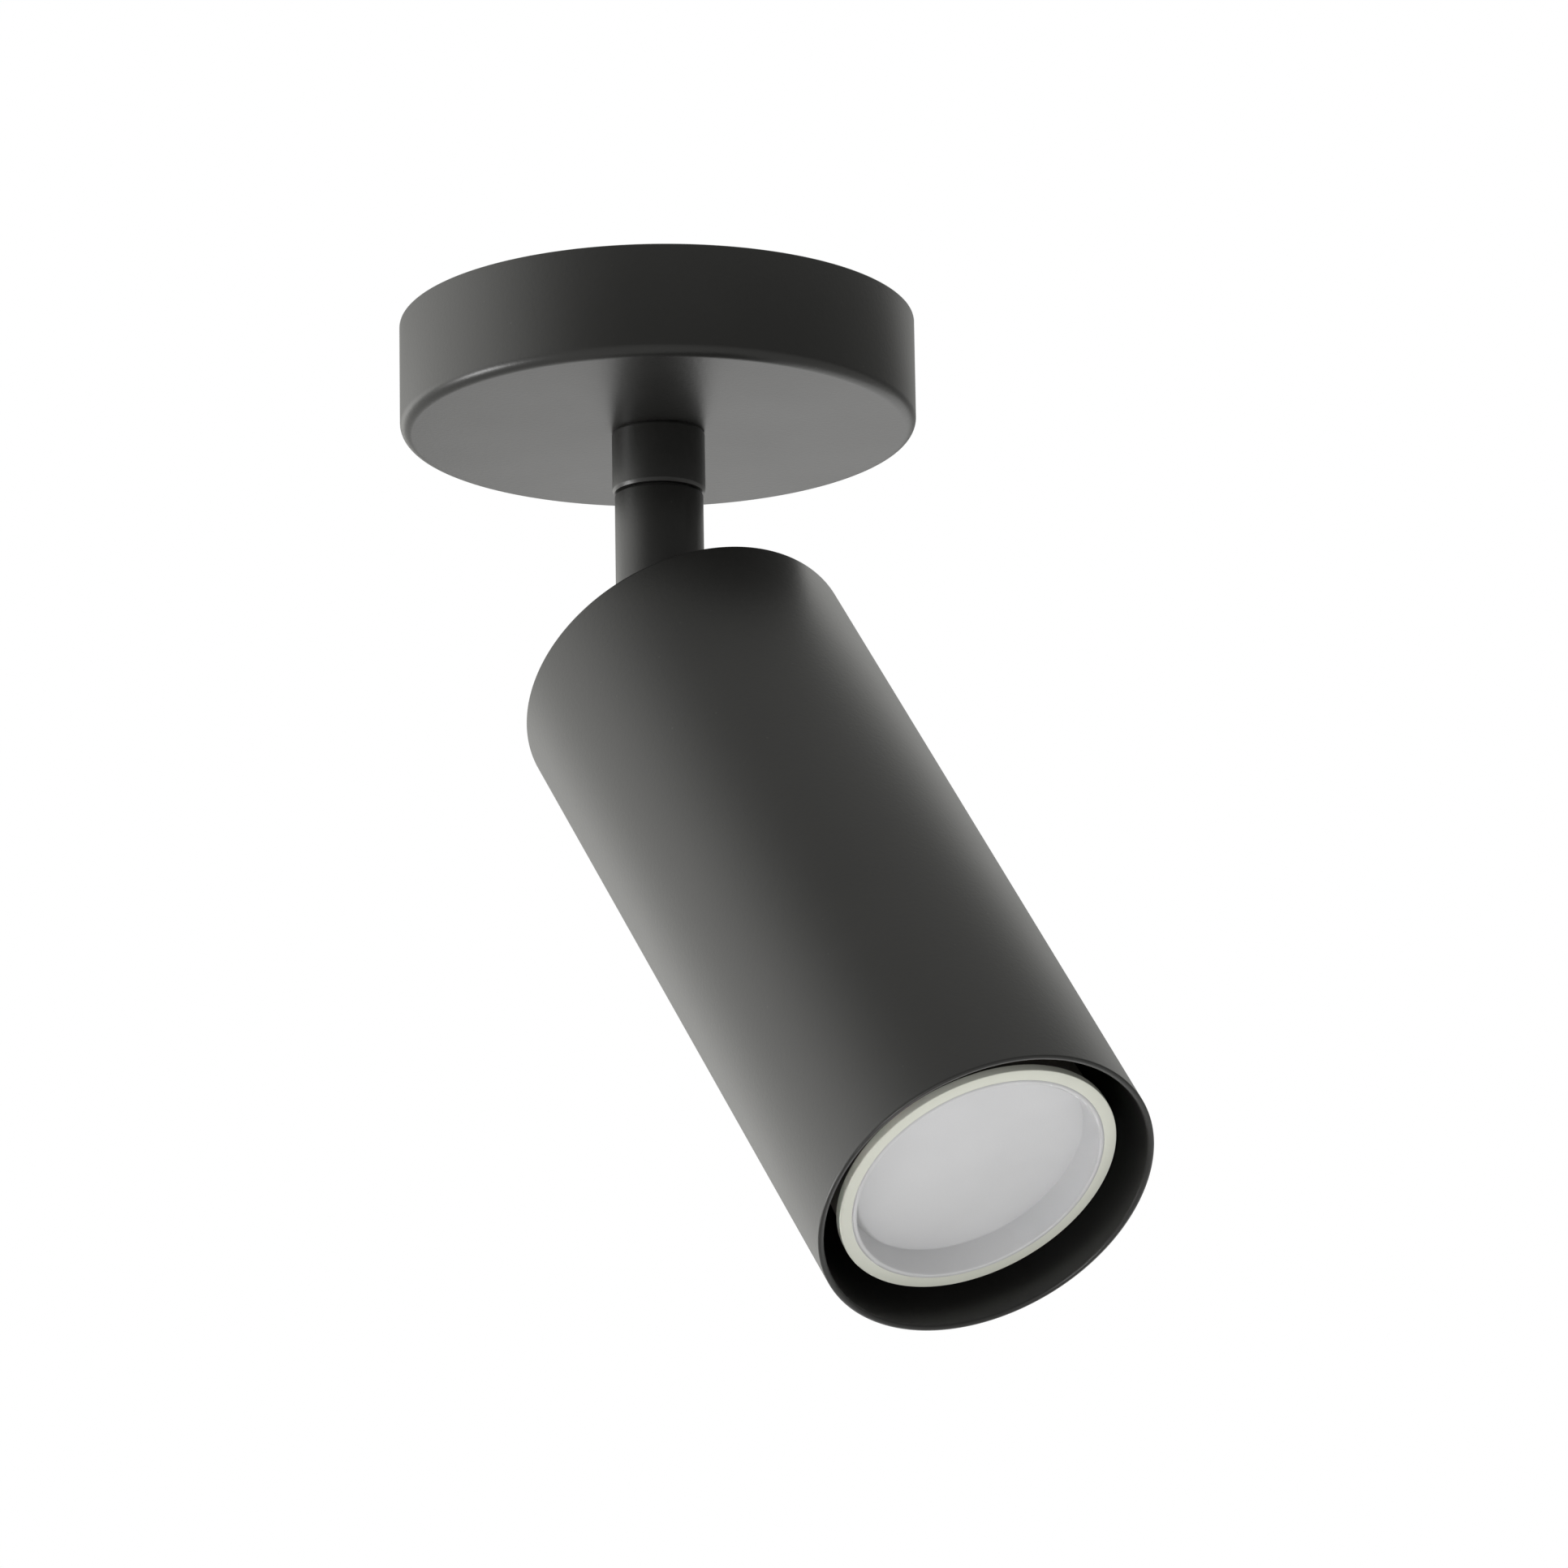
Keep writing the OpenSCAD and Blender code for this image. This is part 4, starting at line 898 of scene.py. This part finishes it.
@dataclass
class TiltJoint:
    """The stem and the knuckle: two half-round cheeks side by side on one screw."""

    aim: Aim
    radius: float = 0.0078
    top: float = -0.0315
    shoulder: float = 0.0082
    play: float = 0.00005
    socket_radius: float = 0.00505
    socket_depth: float = 0.011
    bore: float = 0.0032
    boss: float = 0.0032
    channel: float = 0.0056
    channel_depth: float = 0.0022
    pin: float = 0.00205
    screw_seat: float = 0.0046
    screw_well: float = 0.0039
    nut_seat: float = 0.0042
    nut_well: float = 0.00416
    grub_bore: float = 0.00205
    grub_depth: float = 0.0055
    spigot: float = 0.005
    spigot_length: float = 0.0067
    spigot_root: float = 0.003
    shoulder_gap: float = 0.0001
    top_bevel: float = 0.0003
    broken_edge: float = 0.00022
    doubled: float = 5e-6
    flat: float = 0.4
    sharp: float = 35
    sharp_shading: float = 34.0
    screws: tuple[tuple[str, Body, float], ...] = (
        ("pivot_screw", Body.HEAD, 0.0002),
        ("pivot_spring_washer", Body.HEAD, 0.0001),
        ("pivot_nut", Body.HEAD, 0.00025),
        ("swivel_grub_screw", Body.STEM, 0.0001),
    )

    def _ring(self, side: int) -> bpy.types.Object:
        """Make the ring channel's cutter on one side of the parting plane.

        Args:
            side: 1 towards +X and -1 towards -X.

        Returns:
            The cutter, round the pivot.
        """
        outside = -0.001
        tool = turned(
            "channel_tool",
            [
                (self.channel, outside),
                (self.channel, self.channel_depth),
                (self.boss, self.channel_depth),
                (self.boss, outside),
            ],
            segments=96,
        )
        settle(tool, Matrix.Translation((side * self.play, 0, 0)) @ Matrix.Rotation(side * math.pi / 2, 4, "Y"))
        return tool

    def _nose(self, low: Vector, high: Vector) -> bpy.types.Object:
        """Make the cutter that leaves a cheek's round end standing.

        Args:
            low: The lowest corner of the space it clears.
            high: The highest corner of that space.

        Returns:
            The cutter.
        """
        tool = block("nose_tool", low, high)
        keep = rod("nose_keep", self.radius, Vector((-REACH, 0, 0)), Vector((REACH, 0, 0)), 128)
        combined(tool, [keep], "DIFFERENCE")
        return tool

    def stem(self, shop: Shop) -> None:
        """Cut the stem from a round bar."""
        pivot = -self.aim.pivot
        top = self.top - pivot
        middle = (self.boss + self.channel) / 2
        seat = self.screw_seat - self.play
        grub = top - self.grub_depth
        piece = rod("stem_bar", self.radius, Vector((0, 0, pivot - self.radius)), Vector((0, 0, self.top)), 128)
        with editing(piece):
            pick_edges(piece, on_circle(self.radius, self.top))
            bpy.ops.mesh.bevel(offset=self.top_bevel, segments=3, affect="EDGES")
        settle(piece, Matrix.Translation((0, 0, -pivot)))
        socket_end = Vector((0, 0, top - self.socket_depth))
        combined(
            piece,
            [
                block("half_tool", Vector((-REACH, -REACH, -REACH)), Vector((self.play, REACH, self.shoulder))),
                self._nose(Vector((0.0, -REACH, -REACH)), Vector((REACH, REACH, 0.0))),
                self._ring(1),
                rod("bore_tool", self.bore, Vector((0, 0, middle)), Vector((0, 0, top))),
                rod("socket_tool", self.socket_radius, socket_end, Vector((0, 0, REACH * 2))),
                rod("pin_tool", self.pin, Vector((-REACH, 0, 0)), Vector((REACH, 0, 0)), 48),
                rod("well_tool", self.screw_well, Vector((seat, 0, 0)), Vector((REACH, 0, 0)), 64),
                rod("grub_tool", self.grub_bore, Vector((0, 0, grub)), Vector((0, REACH, grub)), 48),
            ],
            "DIFFERENCE",
        )
        self._soften(piece)
        settle(piece, Matrix.Translation((0, 0, pivot)))
        shop.hand_over(piece, Body.STEM, Slot.PAINT, "stem")

    def knuckle(self, shop: Shop) -> None:
        """Cut the knuckle from a round bar with its threaded end."""
        middle = (self.boss + self.channel) / 2
        rear = -self.aim.gap
        crown = Vector((0, 0, self.shoulder - self.shoulder_gap))
        tail = Vector((0, 0, rear - self.spigot_length))
        piece = rod("knuckle_bar", self.radius, Vector((0, 0, rear)), crown, 128)
        combined(piece, [rod("spigot", self.spigot, tail, Vector((0, 0, rear + self.spigot_root)))], "UNION")
        combined(
            piece,
            [
                block("half_tool", Vector((-self.play, -REACH, -self.shoulder)), Vector((REACH, REACH, REACH))),
                self._nose(Vector((-REACH, -REACH, 0.0)), Vector((REACH, 0.0, REACH))),
                self._ring(-1),
                rod("bore_tool", self.bore, Vector((0, 0, -REACH * 2)), Vector((0, 0, -middle))),
                rod("pin_tool", self.pin, Vector((-REACH, 0, 0)), Vector((REACH, 0, 0)), 48),
                rod("nut_tool", self.nut_well, Vector((-REACH, 0, 0)), Vector((-self.nut_seat, 0, 0)), 6),
            ],
            "DIFFERENCE",
        )
        self._soften(piece)
        settle(piece, self.aim.head())
        shop.hand_over(piece, Body.HEAD, Slot.PAINT, "knuckle")

    def _soften(self, piece: bpy.types.Object) -> None:
        """Break the sharp edges of a cut bar."""
        cleaned(piece, self.doubled, self.flat)
        broken(piece, self.broken_edge, self.sharp)
        smooth(piece, self.sharp_shading)

    def build(self, shop: Shop) -> None:
        """Build the stem, the knuckle and the dressed screw parts."""
        self.stem(shop)
        self.knuckle(shop)
        for node, body, edge in self.screws:
            shop.refined(node, body, Slot.BLACK_STEEL, edge)


@dataclass
class HeadShell:
    """The long drawn cylinder that is open at its mouth."""

    aim: Aim
    radius: float = 0.02997
    wall: float = 0.00108
    rear_edge: float = 0.0006
    mouth_edge: float = 0.0004
    mouth_inside: float = 0.55
    hole: float = 0.00505

    def build(self, shop: Shop) -> None:
        """Turn the shell, round its edges and tilt it."""
        rear = -self.aim.gap
        mouth = rear - self.aim.head_length
        inner = self.radius - self.wall
        floor = rear - self.wall
        piece = turned(
            "head_shell",
            [
                (self.radius, mouth),
                (self.radius, rear),
                (self.hole, rear),
                (self.hole, floor),
                (inner, floor),
                (inner, mouth),
            ],
            segments=224,
        )
        rounded(piece, (self.radius, rear), self.rear_edge, 10)
        rounded(piece, (inner, floor), self.wall / 4, 3)
        rounded(piece, (self.radius, mouth), self.mouth_edge, 5)
        rounded(piece, (inner, mouth), self.wall * self.mouth_inside, 5)
        smooth(piece)
        settle(piece, self.aim.head())
        shop.hand_over(piece, Body.HEAD, Slot.PAINT, "head_tube")


@dataclass
class TwistLamp:
    """The lamp in the mouth: its pale rim, its housing in a dark colour that paints the shade of the gap behind the
    rim, and its set-back frosted cup.
    """

    aim: Aim
    radius: float = 0.0248
    cup: float = 0.0223
    rim: float = 0.0014
    housing: float = 0.0236
    straight: float = 0.003
    wall: float = 0.0012
    back_radius: float = 0.0141
    back: float = 0.036
    frosted: float = 0.0052
    lip: float = 0.00016
    lip_over: float = 0.0003
    cup_corner: float = 0.0002
    rings: tuple[float, float] = (0.66, 0.33)
    disc_shading: float = 50.0
    play: float = 0.00005

    def _bowl(self, inset: float) -> list[tuple[float, float]]:
        """Return the rings of the housing's bowl from its wide end to its narrow end.

        Args:
            inset: How far the bowl is drawn in for its inner side.

        Returns:
            Radius and height of each ring.
        """
        wide, narrow = self.housing - inset, self.back_radius - inset
        tall = self.back - self.straight - inset
        turns = [math.radians(9 * step) for step in range(11)]
        return [
            (narrow + (wide - narrow) * math.cos(turn), self.straight + tall * math.sin(turn)) for turn in turns
        ]

    def ring(self, shop: Shop) -> None:
        """Turn the pale rim."""
        hole = self.cup + self.play
        piece = turned(
            "lamp_ring",
            [(self.radius, 0.0), (self.radius, self.rim), (hole, self.rim), (hole, 0.0)],
            segments=160,
        )
        rounded(piece, (self.radius, 0.0), self.play * 3, 3)
        smooth(piece)
        settle(piece, self.aim.lamp())
        shop.hand_over(piece, Body.LAMP, Slot.SHELL, "lamp_rim")

    def shell(self, shop: Shop) -> None:
        """Turn the housing behind the rim, coloured dark grey-brown as painted shade for the gap behind the rim."""
        piece = turned(
            "lamp_housing",
            [
                *reversed(self._bowl(self.wall)),
                (self.housing - self.wall, self.rim),
                (self.housing, self.rim),
                *self._bowl(0.0),
            ],
            segments=160,
            shut=False,
        )
        smooth(piece)
        settle(piece, self.aim.lamp())
        shop.hand_over(piece, Body.LAMP, Slot.HOUSING, "lamp_body")

    def diffuser(self, shop: Shop) -> None:
        """Turn the frosted cup with its thin lip over the rim."""
        floor = self.cup - self.wall
        skin = -self.play / 5
        piece = turned(
            "frosted_cup",
            [
                (self.cup - self.wall / 4, self.frosted + self.wall),
                (self.cup, self.rim),
                (self.cup, 0.0),
                (self.cup, skin),
                (self.cup + self.lip_over, skin),
                (self.cup, -self.lip),
                (self.cup - self.wall / 3, -self.lip),
                (self.cup - self.wall / 2, 0.0),
                (floor, self.frosted),
                *((floor * share, self.frosted) for share in self.rings),
            ],
            segments=160,
            shut=False,
        )
        rounded(piece, (floor, self.frosted), self.cup_corner, 3)
        smooth(piece, self.disc_shading)
        settle(piece, self.aim.lamp())
        shop.hand_over(piece, Body.LAMP, Slot.FROSTED, "lamp_diffuser")

    def build(self, shop: Shop) -> None:
        """Build the lamp's visible pieces."""
        self.ring(shop)
        self.shell(shop)
        self.diffuser(shop)


@dataclass(frozen=True)
class Fittings:
    """The small inner parts that keep their solids' shape, with broken edges and their own finishes."""

    edges: dict[str, tuple[Body, Slot, float]] = field(
        default_factory=lambda: {
            "mounting_strap": (Body.CEILING, Slot.ZINC, 0.0003),
            "nipple": (Body.CEILING, Slot.ZINC, 0.0002),
            "nipple_nuts": (Body.CEILING, Slot.ZINC, 0.0003),
            "nipple_lock_washer": (Body.CEILING, Slot.ZINC, 0.0001),
            "terminal_block": (Body.CEILING, Slot.BLOCK, 0.0003),
            "terminal_clamps": (Body.CEILING, Slot.BRASS, 0.0001),
            "terminal_screws": (Body.CEILING, Slot.ZINC, 0.0001),
            "terminal_fixing_screw": (Body.CEILING, Slot.ZINC, 0.0001),
            "earth_screw": (Body.CEILING, Slot.BRASS, 0.0002),
            "earth_ring": (Body.CEILING, Slot.BRASS, 0.0001),
            "live_lead_rose": (Body.CEILING, Slot.LIVE, 0.0),
            "neutral_lead_rose": (Body.CEILING, Slot.NEUTRAL, 0.0),
            "earth_lead_rose": (Body.CEILING, Slot.EARTH, 0.0),
            "lampholder": (Body.HEAD, Slot.CERAMIC, 0.0003),
            "holder_face": (Body.HEAD, Slot.CERAMIC, 0.0003),
            "holder_bracket": (Body.HEAD, Slot.ZINC, 0.0002),
        }
    )
    lead_angle: float = 62.0
    metal_angle: float = 34.0
    plain: dict[str, Slot] = field(
        default_factory=lambda: {
            "live_lead_stem": Slot.LIVE,
            "neutral_lead_stem": Slot.NEUTRAL,
            "earth_lead_stem": Slot.EARTH,
            "head_nut": Slot.ZINC,
            "head_lock_washer": Slot.ZINC,
            "holder_screws": Slot.ZINC,
            "holder_nuts": Slot.ZINC,
            "holder_contacts": Slot.BRASS,
            "live_lead_head": Slot.LIVE,
            "neutral_lead_head": Slot.NEUTRAL,
            "earth_lead_head": Slot.EARTH,
            "head_earth_screw": Slot.BRASS,
            "head_earth_ring": Slot.BRASS,
            "head_earth_nut": Slot.ZINC,
            "lamp_led_board": Slot.BOARD,
            "lamp_leds": Slot.LED,
            "lamp_driver": Slot.BOARD,
            "lamp_base": Slot.HOUSING,
            "lamp_pins": Slot.ZINC,
        }
    )

    def build(self, shop: Shop) -> None:
        """Refine the parts that can be seen and dress the rest."""
        for node, (body, slot, edge) in self.edges.items():
            lead = slot in (Slot.LIVE, Slot.NEUTRAL, Slot.EARTH)
            shop.refined(node, body, slot, edge, self.lead_angle if lead else self.metal_angle)
        for node, slot in self.plain.items():
            self.dress(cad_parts[node], shop.materials[slot])

    def dress(self, node: bpy.types.Object, material: bpy.types.Material) -> None:
        """Give a node its finish.

        Args:
            node: The node's object.
            material: The finish.
        """
        for place in node.material_slots:
            place.material = material
        log.info("%s is dressed in %s", node.name, material.name)


@dataclass(frozen=True)
class Glow:
    """A bright side of the room."""

    name: str
    direction: tuple[float, float, float]
    limit: float
    softness: float
    strength: float
    squared: bool = False

    def level(self, bench: NodeBench, way: bpy.types.NodeSocket) -> Level:
        """Return how much light comes from each direction.

        Args:
            bench: The world's bench.
            way: The direction that is looked in.

        Returns:
            The glow's part of the light.
        """
        label = {"operation": "DOT_PRODUCT", "label": self.name}
        near = Level(bench, bench.node("ShaderNodeVectorMath", label, {0: way, 1: self.direction}).outputs["Value"])
        mask = near.above(self.limit, self.softness)
        return (mask * mask if self.squared else mask) * self.strength


@dataclass(frozen=True)
class SoftLight:
    """One square soft light, which the camera doesn't see."""

    name: str
    place: tuple[float, float, float]
    target: tuple[float, float, float]
    side: float
    power: float
    spread: float = 180.0

    def hang(self) -> None:
        """Hang the light and face it to its target."""
        data = bpy.data.lights.new(self.name, "AREA")
        data.spread = math.radians(self.spread)
        data.shape = "SQUARE"
        data.size = self.side
        data.energy = self.power
        light = bpy.data.objects.new(self.name, data)
        light.visible_camera = False
        bpy.context.scene.collection.objects.link(light)
        facing = (Vector(self.target) - Vector(self.place)).to_track_quat("-Z", "Y")
        light.matrix_world = Matrix.Translation(self.place) @ facing.to_matrix().to_4x4()


@dataclass(frozen=True)
class Studio:
    """Camera, pale floor and soft light."""

    azimuth: float = -35.8530
    elevation: float = -15.4515
    roll: float = -0.9509
    distance: float = 1.725197
    aside: float = -0.022493
    above: float = 0.081058
    lens: float = 223.98
    sensor: float = 36.0
    nearest: float = 0.05
    farthest: float = 50.0
    floor: float = -2.4
    floor_size: float = 35.4
    paper: Colour = (0.86, 0.86, 0.86)
    paper_shade: Colour = (0.84, 0.84, 0.84)
    dim: float = 0.25
    warmth: Colour = (1.0, 1.0, 0.965)
    glows: tuple[Glow, ...] = (
        Glow("key", (-0.77, 0.63, 0.08), 0.36, 0.64, 2.0, True),
        Glow("low", (-0.055, 0.906, -0.419), 0.6, 0.4, 2.3, True),
        Glow("behind", (0.5645, 0.7813, 0.2664), 0.6, 0.4, 0.28),
        Glow("overhead", (0.0, 0.0, 1.0), 0.3, 0.7, 0.48),
        Glow("right", (0.66, 0.36, 0.66), 0.84, 0.16, 0.6, True),
    )
    lights: tuple[SoftLight, ...] = (
        SoftLight("low_panel", (0.85, 0.55, -0.80), (0.0, -0.08, -0.14), 1.2, 4.0),
        SoftLight("edge_light", (-0.90, 0.57, -0.56), (0.0, 0.0, -0.03), 0.3, 6.5),
        SoftLight("mouth_light", (-0.17, -0.29, -0.43), (0.0, -0.09, -0.165), 0.05, 0.0062, 16.0),
    )

    def camera(self) -> None:
        """Stand the camera at the photograph's place."""
        turn, rise, roll = (math.radians(part) for part in (self.azimuth, self.elevation, self.roll))
        forward = Vector((-math.sin(turn) * math.cos(rise), math.cos(turn) * math.cos(rise), -math.sin(rise)))
        level = Vector((math.cos(turn), math.sin(turn), 0.0))
        upright = level.cross(forward)
        right = math.cos(roll) * level + math.sin(roll) * upright
        up = math.cos(roll) * upright - math.sin(roll) * level
        data = bpy.data.cameras.new("studio_camera")
        data.lens = self.lens
        data.sensor_width = self.sensor
        data.clip_start, data.clip_end = self.nearest, self.farthest
        camera = bpy.data.objects.new("studio_camera", data)
        bpy.context.scene.collection.objects.link(camera)
        eye = -(forward * self.distance + right * self.aside + up * self.above)
        turned_to = Matrix((right, up, -forward)).transposed().to_4x4()
        camera.matrix_world = Matrix.Translation(eye) @ turned_to
        bpy.context.scene.camera = camera

    def ground(self) -> None:
        """Lay the pale floor."""
        deselect_all()
        bpy.ops.mesh.primitive_plane_add(size=self.floor_size, location=(0, 0, self.floor))
        plane = bpy.context.object
        plane.name = "studio_floor"
        bench = NodeBench.finish_named("pale_floor")
        cloud = bench.grain(30.0, 3.0)
        plane.data.materials.append(
            bench.finish(Base_Color=bench.blend(cloud, self.paper, self.paper_shade), Roughness=0.9)
        )

    def sky(self) -> None:
        """Fill the room with light: bright sides to the left and behind, and a dim side towards the camera."""
        world = bpy.data.worlds.new("white_room")
        bpy.context.scene.world = world
        bench = NodeBench(world, "Background")
        way = bench.node("ShaderNodeTexCoord").outputs["Generated"]
        soft: Level | float = self.dim
        for glow in self.glows:
            soft = soft + glow.level(bench, way)
        seen = Level(bench, bench.node("ShaderNodeLightPath").outputs["Is Camera Ray"])
        bench.finish(
            Color=bench.blend(seen, self.warmth, (1.0, 1.0, 1.0)), Strength=soft + seen * (1.0 - soft)
        )

    def build(self) -> None:
        """Set up the studio."""
        bpy.context.scene.view_settings.view_transform = "Standard"
        self.camera()
        self.ground()
        self.sky()
        for light in self.lights:
            light.hang()


def main() -> None:
    """Build the spotlight and its studio."""
    logging.basicConfig(level=logging.INFO, format="%(name)s: %(message)s")
    Studio().build()
    shop = Shop(finishes())
    aim = Aim()
    CeilingRose().build(shop)
    TiltJoint(aim).build(shop)
    HeadShell(aim).build(shop)
    TwistLamp(aim).build(shop)
    Fittings().build(shop)
    deselect_all()
    log.info("%d pieces made", len(shop.made))


if __name__ == "__main__":
    main()
